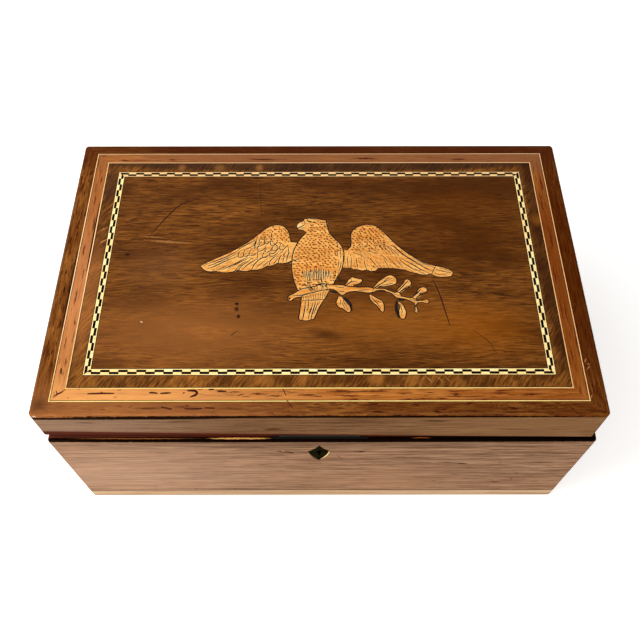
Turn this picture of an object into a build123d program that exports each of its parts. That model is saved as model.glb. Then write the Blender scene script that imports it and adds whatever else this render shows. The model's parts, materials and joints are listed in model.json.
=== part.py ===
from build123d import *
from math import ceil, cos, floor, radians, sin, tan
import os

# Document box: a dovetailed walnut carcase on a pine bottom board, with a marquetry lid on two
# butt hinges and a box lock in the front board.
# Millimetres, Z up. The origin is the middle of the underside, X runs along the width and Y from
# the front to the back. The lid rests slightly open, because its hinge leaves are not let in
# deeply enough for it to shut any further.

# Carcase
BODY_WIDTH = 410.0
BODY_DEPTH = 258.0
RIM_HEIGHT = 132.0
BOTTOM_THICK = 14.5
FRONT_THICK = 12.0
SIDE_THICK = 10.0
CORNER_RADIUS = 2.8
CORNER_FLATS = 4
SMALL_ARRIS = 0.8

# Dovetails: tails on the side boards, half-blind into the front and through the back
LAP = 3.5
TAIL_SHARE = 0.7
TAIL_SLOPE = 1 / 6
BODY_TAILS = 4
LID_TAILS = 2

# Lid
LID_WIDTH = 407.1
LID_DEPTH = 255.9
LID_HEIGHT = 40.0
LID_SHIFT = -2.0
LID_ANGLE = 0.87
TOP_ARRIS = 1.6
PANEL_THICK = 9.0
RABBET = 5.0
WORN_BEVEL_LEFT = 9.0
WORN_BEVEL_RIGHT = 0.5
WORN_BEVEL_SLOPE = 0.25

# Marquetry, from the lid's edge inwards
BORDER_THICK = 4.0
VENEER = 1.5
BORDER_SIDE = 12.65
BORDER_FRONT = 10.5
STRING = 0.9
LIGHT_BAND = 9.2
CROSSBAND = 9.8
CHEQUER_LINE = 1.0
CHEQUER_ROW = 1.65
BLOCK_LONG = 6.52
BLOCK_SHORT = 6.37
BLOCK_SHIFT = 2.0
SLIVER = 0.25
GLUE_GAP = 0.02
SAW_STEP = 4.2

# Hinges
AXIS_INSET = 3.0
STOP_BEVEL = 50.0
BEVEL_START = 0.3
HINGE_X = 112.0
LEAF_LENGTH = 44.0
LEAF_WIDTH = 8.4
LEAF_THICK = 1.5
KNUCKLE_RADIUS = 2.4
KNUCKLE_COUNT = 3
KNUCKLE_GAP = 0.2
KNUCKLE_CLEAR = 0.3
PIN_RADIUS = 1.25
PIN_RUNNING = 0.06

# Lock, measured from the key's axis
KEY_X = -2.2
KEY_Z = 108.0
LOCK_PLATE_WIDTH = 72.0
LOCK_PLATE_LOW = 98.0
LOCK_PLATE_THICK = 2.0
SELVAGE_THICK = 2.4
SELVAGE_INSET = 2.3
CASE_WIDTH = 54.0
CASE_LOW = 101.0
CASE_WALL = 1.0
CASE_INSET = 2.7
BOLT_LOW = 115.5
BOLT_HIGH = 120.5
BOLT_THICK = 2.4
FINGER_LOW = 124.9
FINGER_HIGH = 127.4
FINGER_THICK = 2.2
LOOP_X = 13.0
LOOP_THICK = 3.0
LOOP_WIDTH = 4.8
LOOP_BAR = 1.9
LOOP_HOLE = 4.3
LOOP_DROP = 13.4
LINK_PLATE_WIDTH = 60.0
LINK_PLATE_DEPTH = 8.6
LINK_PLATE_THICK = 2.0
DRILL_PIN_RADIUS = 1.4
KEYHOLE_RADIUS = 2.3
KEYHOLE_SLOT = 1.9
KEYHOLE_DROP = 7.5

# Escutcheon: a kite let into the front board, sunk below its face
KITE_HALF_WIDTH = 8.7
KITE_SHOULDER_Z = 112.0
KITE_TOP_Z = 124.6
KITE_POINT_Z = 90.8
KITE_SINK = 0.9
KITE_THICK = 0.8

# Nails and screws
NAIL_HEAD = 4.4
NAIL_HEAD_THICK = 1.2
NAIL_SINK = 0.3
NAIL_LENGTH = 34.0
NAIL_WIDTH = 2.8
NAIL_TIP_WIDTH = 1.2
NAIL_WALL = 2.0
SCREW_FLATS = 6
SCREW_HEAD_RADIUS = 2.2
SCREW_HEAD_HEIGHT = 1.2
SCREW_HEAD_BEVEL = 1.0
LONG_SCREW = 9.0
SHORT_SCREW = 7.0

FRONT_Y = -BODY_DEPTH / 2
BACK_Y = BODY_DEPTH / 2
INNER_FRONT_Y = FRONT_Y + FRONT_THICK
AXIS_Y = BACK_Y - AXIS_INSET
LID_FRONT_Y = BACK_Y - LID_DEPTH
LID_MIDDLE_Y = BACK_Y - LID_DEPTH / 2
LID_TOP = RIM_HEIGHT + LID_HEIGHT
RAIL_TOP = LID_TOP - BORDER_THICK
PANEL_TOP = LID_TOP - VENEER
HINGE_LINE = Axis((0, AXIS_Y, RIM_HEIGHT), (-1, 0, 0))
SELVAGE_LOW = RIM_HEIGHT - SELVAGE_THICK
PLATE_FACE_Y = INNER_FRONT_Y - LOCK_PLATE_THICK
CASE_FRONT_Y = FRONT_Y + CASE_INSET
LOOP_Y = (CASE_FRONT_Y + CASE_WALL + PLATE_FACE_Y) / 2


# Shared forms

def block(x_span, y_span, z_span):
    """A box between two values on each axis."""
    spans = (x_span, y_span, z_span)
    middle = [(low + high) / 2 for low, high in spans]
    return Pos(*middle) * Box(*(high - low for low, high in spans))


def span(middle, width):
    return (middle - width / 2, middle + width / 2)


def rounded_block(width, depth, low, high):
    """A block with the box's rounded plan corners, each planed in a few flats."""
    points = []
    for quarter, (side_x, side_y) in enumerate(((1, 1), (-1, 1), (-1, -1), (1, -1))):
        for index in range(CORNER_FLATS + 1):
            angle = radians(90 * (quarter + index / CORNER_FLATS))
            points.append((
                side_x * (width / 2 - CORNER_RADIUS) + CORNER_RADIUS * cos(angle),
                side_y * (depth / 2 - CORNER_RADIUS) + CORNER_RADIUS * sin(angle)))
    outline = make_face(Polyline(*points, close=True))
    return extrude(Pos(0, 0, low) * outline, amount=high - low)


def outline_face(*edges):
    return make_face(Wire(edges))


def sawn_face(*edges, step=SAW_STEP):
    """A face inside edges that run head to tail, its curves cut as short straight steps."""
    points = []
    for edge in edges:
        count = 1 if edge.geom_type == GeomType.LINE else max(2, round(edge.length / step))
        points += [edge @ (index / count) for index in range(count)]
    return make_face(Polyline(*points, close=True))


def inlay_solid(face, low=PANEL_TOP, high=LID_TOP):
    """A flat piece of veneer, drawn about the middle of the lid."""
    return extrude(Pos(LID_SHIFT, LID_MIDDLE_Y, low) * face, amount=high - low)


def stand_open(piece):
    """Turns a piece of the shut lid to where the lid rests."""
    return piece.rotate(HINGE_LINE, LID_ANGLE)


def screw(length):
    """A countersunk screw pointing down, with its head's face at the origin, drawn with flats."""
    head = extrude(RegularPolygon(SCREW_HEAD_RADIUS, SCREW_FLATS), amount=-SCREW_HEAD_HEIGHT)
    head = chamfer(head.faces().sort_by(Axis.Z)[0].edges(), SCREW_HEAD_BEVEL)
    return head + extrude(head.faces().sort_by(Axis.Z)[0], amount=length - SCREW_HEAD_HEIGHT)


# Carcase

def tails(x_span, y_root, y_tip, z_span, count):
    """Dovetail tails at one end of a side board, each wider at its tip."""
    pitch = (z_span[1] - z_span[0]) / count
    tip_half = pitch * TAIL_SHARE / 2
    root_half = tip_half - abs(y_tip - y_root) * TAIL_SLOPE
    prisms = []
    for index in range(count):
        z = z_span[0] + pitch * (index + 0.5)
        corners = [
            (y_root, z - root_half), (y_tip, z - tip_half), (y_tip, z + tip_half), (y_root, z + root_half)]
        face = Plane.YZ.offset(x_span[0]) * make_face(Polyline(*corners, close=True))
        prisms.append(extrude(face, amount=x_span[1] - x_span[0]))
    return prisms


def dovetailed_frame(outer, x_middle, width, y_front, z_span, count):
    """Front, back, left and right boards, jointed at the corners, inside an outer form."""
    y_back = BACK_Y
    inner_front = y_front + FRONT_THICK
    inner_back = y_back - FRONT_THICK
    sides = []
    for sign in (-1, 1):
        x_out = x_middle + sign * width / 2
        x_span = sorted((x_out, x_out - sign * SIDE_THICK))
        board = block(x_span, (inner_front, inner_back), z_span)
        for tail in tails(x_span, inner_front, y_front + LAP, z_span, count):
            board += tail
        for tail in tails(x_span, inner_back, y_back, z_span, count):
            board += tail
        sides.append(board & outer)
    left, right = sides
    x_full = span(x_middle, width)
    front = (block(x_full, (y_front, inner_front), z_span) & outer) - left - right
    back = (block(x_full, (inner_back, y_back), z_span) & outer) - left - right
    return front, back, left, right


def stop_groove(side):
    """The bevel along the rear edge, below (-1) or above (1) the joint, that stops the open lid."""
    reach = AXIS_INSET + BEVEL_START + 1
    start = AXIS_Y - BEVEL_START
    corners = [
        (start, RIM_HEIGHT),
        (start + reach, RIM_HEIGHT + side * reach * tan(radians(STOP_BEVEL))),
        (start + reach, RIM_HEIGHT - side),
        (start, RIM_HEIGHT - side),
    ]
    face = Plane.YZ.offset(-BODY_WIDTH) * make_face(Polyline(*corners, close=True))
    return extrude(face, amount=2 * BODY_WIDTH)


def bottom_board():
    board = rounded_block(BODY_WIDTH, BODY_DEPTH, 0, BOTTOM_THICK)
    return chamfer(board.faces().sort_by(Axis.Z)[0].edges(), SMALL_ARRIS)


def bottom_nail(head_low=NAIL_SINK):
    """A cut nail driven up from below, with its head sunk just inside the bottom's face.

    It was sheared from plate, so its thickness is even and only its width tapers."""
    neck = NAIL_SINK + NAIL_HEAD_THICK
    head = block(span(0, NAIL_HEAD), span(0, NAIL_HEAD), (head_low, neck))
    half_neck, half_tip = NAIL_WIDTH / 2, NAIL_TIP_WIDTH / 2
    corners = [(-half_neck, neck), (half_neck, neck), (half_tip, NAIL_LENGTH), (-half_tip, NAIL_LENGTH)]
    face = Plane.XZ * make_face(Polyline(*corners, close=True))
    return head + extrude(face, amount=NAIL_WALL / 2, both=True)


def nail_places():
    """Along the middle of each wall: three in the front and back, two in each side."""
    long_y = FRONT_Y + FRONT_THICK / 2
    side_x = (BODY_WIDTH - SIDE_THICK) / 2
    places = [(x, y) for y in (long_y, -long_y) for x in (-150, 0, 150)]
    return places + [(x, y) for x in (-side_x, side_x) for y in (-55, 55)]


# Hinges

def knuckle_spans(x_middle, owner):
    """Knuckles 0, 2 and 4 belong to the body's leaf, 1 and 3 to the lid's."""
    length = LEAF_LENGTH / KNUCKLE_COUNT
    low = x_middle - LEAF_LENGTH / 2
    first = 0 if owner == "body" else 1
    for index in range(first, KNUCKLE_COUNT, 2):
        yield span(low + (index + 0.5) * length, length - KNUCKLE_GAP)


def cylinder_along_x(radius, x_span, y, z):
    middle = (x_span[0] + x_span[1]) / 2
    return Pos(middle, y, z) * Rot(0, 90, 0) * Cylinder(radius, x_span[1] - x_span[0])


def hinge_screw_places(x_middle):
    plate_edge = AXIS_Y - KNUCKLE_RADIUS - KNUCKLE_CLEAR
    y = (AXIS_Y - LEAF_WIDTH + plate_edge) / 2
    return [(x_middle + step, y) for step in (-13, 13)]


def hinge_leaf(x_middle, owner):
    """One leaf of a butt hinge with its knuckles, bored for the pin and for three screws."""
    side = -1 if owner == "body" else 1
    plate_z = sorted((RIM_HEIGHT + side * GLUE_GAP, RIM_HEIGHT + side * LEAF_THICK))
    plate_edge = AXIS_Y - KNUCKLE_RADIUS - KNUCKLE_CLEAR
    leaf = block(span(x_middle, LEAF_LENGTH), (AXIS_Y - LEAF_WIDTH, plate_edge), plate_z)
    for x_span in knuckle_spans(x_middle, owner):
        leaf += block(x_span, (plate_edge, AXIS_Y), plate_z)
        leaf += cylinder_along_x(KNUCKLE_RADIUS, x_span, AXIS_Y, RIM_HEIGHT)
    bore = PIN_RADIUS if owner == "body" else PIN_RADIUS + PIN_RUNNING
    leaf -= cylinder_along_x(bore, span(x_middle, LEAF_LENGTH + 2), AXIS_Y, RIM_HEIGHT)
    return leaf


def hinge_mortise(x_middle, side):
    """What is cut from the rim or the lid for one hinge: the leaf's bed and room for the knuckles."""
    z_span = sorted((RIM_HEIGHT - side * 0.5, RIM_HEIGHT + side * LEAF_THICK))
    bed = block(span(x_middle, LEAF_LENGTH), (AXIS_Y - LEAF_WIDTH, AXIS_Y), z_span)
    room = cylinder_along_x(
        KNUCKLE_RADIUS + KNUCKLE_CLEAR, span(x_middle, LEAF_LENGTH + KNUCKLE_GAP), AXIS_Y, RIM_HEIGHT)
    return bed + room


# Lock

def key_plane(y):
    """The vertical plane at y, seen from the front, with its origin on the key's axis."""
    return Plane(origin=(KEY_X, y, KEY_Z), x_dir=(1, 0, 0), z_dir=(0, -1, 0))


def keyhole(y_span):
    """A round hole over a slot, cut towards the front."""
    slot = Pos(0, -KEYHOLE_DROP / 2) * Rectangle(KEYHOLE_SLOT, KEYHOLE_DROP)
    face = key_plane(y_span[1]) * (Circle(KEYHOLE_RADIUS) + slot)
    return extrude(face, amount=y_span[1] - y_span[0])


def kite(y_span):
    """The shield-like kite: two slopes to the top, shoulders, and round sides to a point."""
    shoulder = KITE_SHOULDER_Z - KEY_Z
    top = KITE_TOP_Z - KEY_Z
    point = KITE_POINT_Z - KEY_Z
    edges = []
    for sign in (-1, 1):
        edges.append(ThreePointArc(
            (sign * KITE_HALF_WIDTH, shoulder),
            (sign * KITE_HALF_WIDTH * 0.43, (shoulder + top) / 2 - 1), (0, top)))
        edges.append(ThreePointArc(
            (sign * KITE_HALF_WIDTH, shoulder),
            (sign * KITE_HALF_WIDTH * 0.74, (shoulder + point) / 2), (0, point)))
    return extrude(key_plane(y_span[1]) * outline_face(*edges), amount=y_span[1] - y_span[0])


def lock_screw_places():
    return [(KEY_X + sign * 31, z) for sign in (-1, 1) for z in (103.5, 122.5)]


def place_lock_screw(piece, x, z):
    return Pos(x, INNER_FRONT_Y, z) * Rot(-90, 0, 0) * piece


def selvage():
    return block(
        span(KEY_X, LOCK_PLATE_WIDTH), (FRONT_Y + SELVAGE_INSET, INNER_FRONT_Y), (SELVAGE_LOW, RIM_HEIGHT))


def back_plate():
    return block(
        span(KEY_X, LOCK_PLATE_WIDTH), (PLATE_FACE_Y, INNER_FRONT_Y), (LOCK_PLATE_LOW, RIM_HEIGHT))


def case_outside():
    return block(span(KEY_X, CASE_WIDTH), (CASE_FRONT_Y, PLATE_FACE_Y), (CASE_LOW, SELVAGE_LOW))


def lock_plate():
    """One bent iron piece: the plate on the inside of the front board and the selvage on its edge."""
    plate = selvage() + back_plate()
    for sign in (-1, 1):
        plate -= block(
            span(KEY_X + sign * LOOP_X, LOOP_THICK + 1), span(LOOP_Y, LOOP_WIDTH + 1.4),
            (SELVAGE_LOW - 1, RIM_HEIGHT + 1))
    return plate


def lock_case():
    """The case riveted to the plate, open at the top and towards the plate."""
    hollow = block(
        span(KEY_X, CASE_WIDTH - 2 * CASE_WALL), (CASE_FRONT_Y + CASE_WALL, PLATE_FACE_Y),
        (CASE_LOW + CASE_WALL, SELVAGE_LOW))
    return case_outside() - hollow - keyhole((CASE_FRONT_Y - 1, CASE_FRONT_Y + CASE_WALL + 1))


def lock_bolt():
    """The bolt, thrown to the right by the key: two posts carry fingers that enter the loops."""
    back = PLATE_FACE_Y - 0.2
    bolt = block((KEY_X - 24, KEY_X + 6), (back - BOLT_THICK, back), (BOLT_LOW, BOLT_HIGH))
    for loop_x in (KEY_X - LOOP_X, KEY_X + LOOP_X):
        bolt += block(
            (loop_x - 11, loop_x - 8.3), (LOOP_Y - FINGER_THICK / 2, back), (BOLT_HIGH - 1, FINGER_HIGH))
        bolt += block((loop_x - 11, loop_x - 2.1), span(LOOP_Y, FINGER_THICK), (FINGER_LOW, FINGER_HIGH))
    talon = Pos(KEY_X - 3, PLATE_FACE_Y, BOLT_LOW - 1) * Rot(90, 0, 0) * Cylinder(3.2, 12)
    return bolt - talon


def bolt_spring():
    """The feather spring that holds the bolt: a strip that rises from the bolt to the selvage."""
    low = (KEY_X + 0.4, BOLT_HIGH)
    high = (KEY_X - 8.5, SELVAGE_LOW - 0.15)
    bend = (KEY_X - 4.8, BOLT_HIGH + 2.9)
    thick = 0.6
    plane = Plane(origin=(0, PLATE_FACE_Y - 0.6, 0), x_dir=(1, 0, 0), z_dir=(0, -1, 0))
    strip = outline_face(
        ThreePointArc(low, bend, high), Line(high, (high[0] + thick, high[1])),
        ThreePointArc(
            (high[0] + thick, high[1]), (bend[0] + thick / 2, bend[1] + thick), (low[0] + 2 * thick, low[1])),
        Line((low[0] + 2 * thick, low[1]), low))
    return extrude(plane * strip, amount=1.8)


def drill_pin():
    """The pin that a pipe key turns on, riveted through the plate."""
    length = INNER_FRONT_Y - (CASE_FRONT_Y + CASE_WALL) - 0.4
    return Pos(KEY_X, INNER_FRONT_Y - length, KEY_Z) * Rot(-90, 0, 0) * extrude(
        RegularPolygon(DRILL_PIN_RADIUS, 8), amount=length)


def link_plate():
    """The plate under the lid with the two loops that drop into the lock, on the shut lid."""
    middle_y = LOOP_Y
    plate = block(
        span(KEY_X, LINK_PLATE_WIDTH), span(middle_y, LINK_PLATE_DEPTH),
        (RIM_HEIGHT, RIM_HEIGHT + LINK_PLATE_THICK))
    low = RIM_HEIGHT - LOOP_DROP
    for sign in (-1, 1):
        x_span = span(KEY_X + sign * LOOP_X, LOOP_THICK)
        plate += block(x_span, span(middle_y, LOOP_WIDTH), (low, RIM_HEIGHT))
        plate -= block(
            x_span, span(middle_y, FINGER_THICK + 0.9), (low + LOOP_BAR, low + LOOP_BAR + LOOP_HOLE))
    return plate


# Lid

def worn_bevel():
    """What hands have worn off under the lid's front edge: a flat bevel, higher to the left."""
    left, right = span(LID_SHIFT, LID_WIDTH)
    high_left = Vector(left, LID_FRONT_Y, RIM_HEIGHT + WORN_BEVEL_LEFT)
    high_right = Vector(right, LID_FRONT_Y, RIM_HEIGHT + WORN_BEVEL_RIGHT)
    low_left = Vector(left, LID_FRONT_Y + WORN_BEVEL_LEFT * WORN_BEVEL_SLOPE, RIM_HEIGHT)
    outward = (low_left - high_left).cross(high_right - high_left)
    bevel = Plane(origin=high_left, x_dir=high_right - high_left, z_dir=outward)
    return extrude(bevel * Rectangle(3 * BODY_WIDTH, 4 * WORN_BEVEL_LEFT), amount=2 * WORN_BEVEL_LEFT)


def mitred_strip(side, outer, inner):
    """One side of a mitred border between two rectangles, each given by its half width and depth."""
    (outer_x, outer_y), (inner_x, inner_y) = outer, inner
    corners = {
        "front": [(-outer_x, -outer_y), (outer_x, -outer_y), (inner_x, -inner_y), (-inner_x, -inner_y)],
        "back": [(-outer_x, outer_y), (outer_x, outer_y), (inner_x, inner_y), (-inner_x, inner_y)],
        "left": [(-outer_x, -outer_y), (-inner_x, -inner_y), (-inner_x, inner_y), (-outer_x, outer_y)],
        "right": [(outer_x, -outer_y), (inner_x, -inner_y), (inner_x, inner_y), (outer_x, outer_y)],
    }
    return make_face(Polyline(*corners[side], close=True))


def shrink(half_sizes, by):
    return (half_sizes[0] - by, half_sizes[1] - by)


LID_EDGE = (LID_WIDTH / 2, LID_DEPTH / 2)
BORDER_EDGE = (LID_EDGE[0] - BORDER_SIDE, LID_EDGE[1] - BORDER_FRONT)
LIGHT_EDGE = shrink(BORDER_EDGE, STRING)
INNER_STRING_EDGE = shrink(LIGHT_EDGE, LIGHT_BAND)
CROSS_EDGE = shrink(INNER_STRING_EDGE, STRING)
CHEQUER_EDGE = shrink(CROSS_EDGE, CROSSBAND)
BLOCK_EDGE = shrink(CHEQUER_EDGE, CHEQUER_LINE)
BLOCK_INNER_EDGE = shrink(BLOCK_EDGE, 2 * CHEQUER_ROW)
FIELD_EDGE = shrink(BLOCK_INNER_EDGE, CHEQUER_LINE)
SIDES = ("front", "back", "left", "right")


def lid_panel():
    """The board under the marquetry, let into a rabbet in the four rails."""
    half_x = LID_WIDTH / 2 - SIDE_THICK + RABBET
    y_span = (LID_FRONT_Y + FRONT_THICK - RABBET, BACK_Y - FRONT_THICK + RABBET)
    board = block((LID_SHIFT - half_x, LID_SHIFT + half_x), y_span, (RAIL_TOP - PANEL_THICK, RAIL_TOP))
    raised = inlay_solid(Rectangle(2 * BORDER_EDGE[0], 2 * BORDER_EDGE[1]), RAIL_TOP, PANEL_TOP)
    return board + raised


def lid_outside():
    """The whole shut lid's outer form, with its rounded corners and top edges."""
    form = Pos(LID_SHIFT, LID_MIDDLE_Y, 0) * rounded_block(LID_WIDTH, LID_DEPTH, RIM_HEIGHT, LID_TOP)
    return chamfer(form.faces().sort_by(Axis.Z)[-1].edges(), TOP_ARRIS)


def border_band(side, outside):
    return inlay_solid(mitred_strip(side, LID_EDGE, BORDER_EDGE), RAIL_TOP) & outside


def ring(outer, inner):
    """Four mitred strips of veneer."""
    return [inlay_solid(mitred_strip(side, outer, inner)) for side in SIDES]


def chequer_run(side, row, dark):
    """The blocks of one colour in one row of the front or the right side, cut off at the mitres."""
    outer = shrink(BLOCK_EDGE, row * CHEQUER_ROW)
    strip = mitred_strip(side, outer, shrink(outer, CHEQUER_ROW))
    if side == "front":
        pitch, first, half_run, across = BLOCK_LONG, BLOCK_SHIFT - BLOCK_LONG / 2, outer[0], -outer[1]
    else:
        pitch, first, half_run, across = BLOCK_SHORT, 0.0, outer[1], outer[0]
    inwards = CHEQUER_ROW / 2 if across < 0 else -CHEQUER_ROW / 2
    blocks = []
    for index in range(floor((-half_run - first) / pitch), ceil((half_run - first) / pitch)):
        outside_dark = index % 2 == (1 if side == "front" else 0)
        if (outside_dark == (row == 0)) != dark:
            continue
        middle = first + (index + 0.5) * pitch
        place = (middle, across + inwards) if side == "front" else (across + inwards, middle)
        size = (pitch - GLUE_GAP, CHEQUER_ROW - GLUE_GAP)
        block = Pos(*place) * Rectangle(*(size if side == "front" else size[::-1]))
        if abs(middle) + pitch / 2 > half_run - CHEQUER_ROW:
            block = block & strip
        blocks += [face for face in block.faces() if face.area > SLIVER]
    return blocks


def chequer_blocks(dark):
    """The small blocks of one colour in both rows; half a turn of the lid gives the same pattern."""
    half = [face for side in ("front", "right") for row in (0, 1) for face in chequer_run(side, row, dark)]
    return [inlay_solid(Rot(0, 0, turn) * face) for turn in (0, 180) for face in half]


# Eagle on a branch, drawn from the middle of the lid: X to the right, Y to the back

def feather_edge(start, tips):
    """Rounded feather ends: an arc to each tip point, standing out from its chord by the bulge."""
    edges = []
    here = Vector(*start)
    for x, y, bulge in tips:
        there = Vector(x, y)
        outward = (there - here).rotate(Axis.Z, -90).normalized()
        edges.append(ThreePointArc(here, (here + there) * 0.5 + outward * bulge, there))
        here = there
    return edges


def eagle_body_face():
    return sawn_face(
        Spline((-10.4, 31.8), (-11.8, 34.0), (-14.4, 34.1), (-17.2, 35.0)),
        Spline((-17.2, 35.0), (-18.6, 39.0), (-16.0, 42.5), (-12.8, 43.6)),
        Line((-12.8, 43.6), (-12.2, 45.8)),
        Spline((-12.2, 45.8), (-8.5, 46.9), (-2.5, 46.2), (5.6, 44.2)),
        Spline((5.6, 44.2), (6.7, 37.0), (9.0, 30.0), (17.2, 19.6), (19.6, 8.0), (17.3, -5.0), (10.5, -18.6)),
        Spline((10.5, -18.6), (-3.0, -23.4), (-16.4, -24.2)),
        Spline((-16.4, -24.2), (-20.4, -12.0), (-21.7, 0.0), (-20.6, 12.0), (-16.2, 23.6), (-10.4, 31.8)))


def left_wing_face():
    root = (-17.0, 6.8)
    tips = [
        (-24.7, 2.2, 0.0), (-33.0, 1.4, -0.6), (-41.0, -1.2, -1.0), (-53.0, -5.0, -1.4),
        (-63.5, -4.9, -1.4), (-81.0, -5.8, -2.2), (-93.3, -0.8, -2.9)]
    edges = [Line(root, tips[0][:2])] + feather_edge(tips[0][:2], tips[1:])
    edges.append(Spline(
        (-93.3, -0.8), (-85.0, 4.6), (-71.0, 12.3), (-58.0, 21.5), (-46.0, 33.0), (-39.5, 38.4),
        (-34.0, 39.7), (-28.2, 37.8), (-24.6, 32.0), (-22.8, 22.4)))
    edges.append(Line((-22.8, 22.4), (-15.0, 21.4)))
    edges.append(Line((-15.0, 21.4), root))
    return sawn_face(*edges)


def right_wing_face():
    root = (16.5, -2.4)
    tips = [
        (24.4, -3.0, 0.7), (29.6, -4.6, 0.9), (37.2, -4.9, 1.1), (46.5, -3.4, 2.3), (66.5, -5.0, -0.6),
        (75.5, -8.2, 0.6), (86.8, -8.8, 1.4)]
    edges = feather_edge(root, tips)
    edges.append(Spline(
        (86.8, -8.8), (91.5, -11.5), (97.5, -11.9), (102.4, -11.0), (104.7, -8.6), (103.4, -5.9),
        (97.6, -2.7), (87.0, 0.2), (76.0, 6.4), (66.0, 14.9), (58.0, 24.0), (51.0, 33.4), (45.0, 38.9),
        (38.0, 40.0), (31.0, 37.4), (26.2, 32.6), (25.3, 25.0), (25.2, 18.4), (22.4, 14.7)))
    edges.append(Line((22.4, 14.7), (15.0, 14.9)))
    edges.append(Line((15.0, 14.9), root))
    return sawn_face(*edges)


def straight_cuts(points):
    """A face whose outline the saw follows in short straight cuts from point to point."""
    return make_face(Polyline(*points, close=True))


TAIL = (
    (9.0, -21.5), (-13.0, -27.0), (-13.7, -29.8), (-14.0, -35.0), (-14.6, -40.2), (-15.1, -45.3),
    (-15.7, -49.0), (-15.1, -50.3), (-13.9, -50.9), (-12.9, -50.3), (-11.9, -51.1), (-9.3, -51.3),
    (-7.0, -50.7), (-6.0, -50.0), (-4.5, -50.1), (-3.7, -49.3), (-2.2, -45.0), (0.2, -38.8),
    (2.2, -35.1), (4.3, -31.4))

# The upper edge from the sawn end over both feet to the tip, then the lower edge back again
BRANCH = (
    (-24.3, -31.6), (-23.9, -29.5), (-22.4, -28.3), (-20.6, -27.4), (-18.6, -25.9), (-16.9, -24.4),
    (-13.4, -22.6), (-8.1, -21.1), (-4.8, -20.7), (-2.5, -20.0), (-1.0, -18.4), (1.1, -17.6),
    (3.4, -17.6), (6.7, -18.9), (14.1, -18.7), (17.9, -19.0), (22.6, -20.2), (30.0, -21.1),
    (37.4, -20.9), (43.7, -22.2), (50.6, -22.3), (52.6, -23.7), (57.7, -26.1), (59.4, -25.5),
    (61.5, -26.3), (62.8, -29.4), (69.4, -31.0), (70.8, -30.5), (74.8, -33.2), (77.9, -33.3),
    (81.0, -32.2), (82.9, -32.6), (83.6, -34.1), (82.7, -35.8), (80.9, -35.9), (78.3, -35.0),
    (75.1, -35.4), (73.2, -37.7), (72.6, -37.7), (72.1, -35.8), (70.0, -34.2), (64.9, -31.9),
    (58.7, -30.8), (55.7, -27.2), (53.1, -25.7), (48.9, -24.5), (44.7, -24.6), (38.9, -26.3),
    (36.2, -26.3), (32.0, -25.3), (27.2, -24.9), (23.5, -25.3), (20.9, -26.3), (19.3, -27.8),
    (17.4, -28.6), (15.8, -27.8), (13.3, -24.9), (10.9, -23.3), (8.1, -22.7), (2.2, -24.1),
    (-2.2, -25.0), (-4.2, -26.1), (-8.3, -27.0), (-12.4, -28.7), (-14.4, -30.1), (-18.2, -30.8),
    (-19.8, -31.9), (-21.0, -33.3), (-22.6, -33.7), (-23.8, -32.9))

# Spoon-shaped leaves, four over the branch and four under it
LEAVES = (
    ((19.0, -20.2), (20.6, -17.3), (22.7, -13.8), (25.3, -11.5), (27.8, -12.3), (30.7, -13.1),
     (32.9, -13.7), (33.5, -15.1), (32.3, -16.8), (30.1, -18.3), (26.4, -19.1), (26.6, -21.6)),
    ((40.5, -24.3), (41.0, -21.9), (43.3, -18.9), (46.1, -15.4), (49.5, -12.7), (52.2, -10.6),
     (55.2, -9.7), (57.8, -10.8), (59.6, -12.9), (60.1, -15.8), (59.1, -18.0), (56.1, -19.4),
     (49.9, -20.7), (45.1, -20.0), (43.8, -21.3), (42.6, -23.4)),
    ((60.6, -27.4), (59.6, -25.1), (59.7, -23.4), (62.4, -20.2), (64.7, -17.7), (65.9, -14.8),
     (67.8, -13.5), (70.2, -14.8), (71.2, -17.4), (70.4, -19.6), (68.4, -21.5), (65.4, -23.1),
     (61.8, -25.7)),
    ((71.3, -31.7), (70.9, -30.7), (73.2, -27.5), (74.8, -26.0), (75.2, -24.1), (76.6, -22.2),
     (79.9, -20.8), (82.2, -21.7), (83.0, -23.9), (81.9, -25.7), (79.4, -26.6), (77.2, -27.9),
     (75.3, -29.7), (73.1, -32.4)),
    ((14.5, -29.3), (12.6, -34.9), (13.3, -37.7), (15.1, -39.6), (17.7, -40.8), (19.8, -42.6),
     (21.6, -43.9), (23.4, -43.3), (24.0, -41.1), (23.2, -38.3), (18.2, -31.5), (17.6, -29.6)),
    ((38.0, -27.8), (38.1, -30.6), (39.1, -33.1), (40.8, -35.6), (43.1, -37.5), (44.8, -39.9),
     (46.3, -42.7), (48.1, -43.7), (48.9, -42.4), (49.2, -39.3), (49.0, -36.2), (48.0, -33.7),
     (45.4, -31.9), (42.9, -30.3), (39.3, -27.5)),
    ((59.2, -35.0), (60.4, -36.9), (60.8, -39.3), (60.0, -42.4), (59.9, -45.5), (60.5, -48.5),
     (62.2, -50.2), (64.1, -49.4), (65.3, -46.7), (65.6, -43.6), (64.9, -40.6), (63.8, -37.5),
     (62.6, -35.6), (60.8, -34.4)),
    ((72.4, -38.3), (71.7, -40.6), (71.7, -43.3), (72.9, -44.7), (74.2, -43.6), (74.5, -41.5),
     (73.3, -38.2)),
)


def eagle_pieces():
    """Every inlaid piece, each cut round the ones that lie over it."""
    branch = inlay_solid(straight_cuts(BRANCH))
    body = inlay_solid(eagle_body_face()) - branch
    over_wings = inlay_solid(eagle_body_face())
    pieces = {
        "eagle_body": body,
        "eagle_left_wing": inlay_solid(left_wing_face()) - over_wings,
        "eagle_right_wing": inlay_solid(right_wing_face()) - over_wings,
        "eagle_tail": inlay_solid(straight_cuts(TAIL)) - over_wings - branch,
        "branch": branch,
    }
    pieces["leaves"] = [inlay_solid(straight_cuts(leaf)) - branch for leaf in LEAVES]
    return pieces


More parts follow.
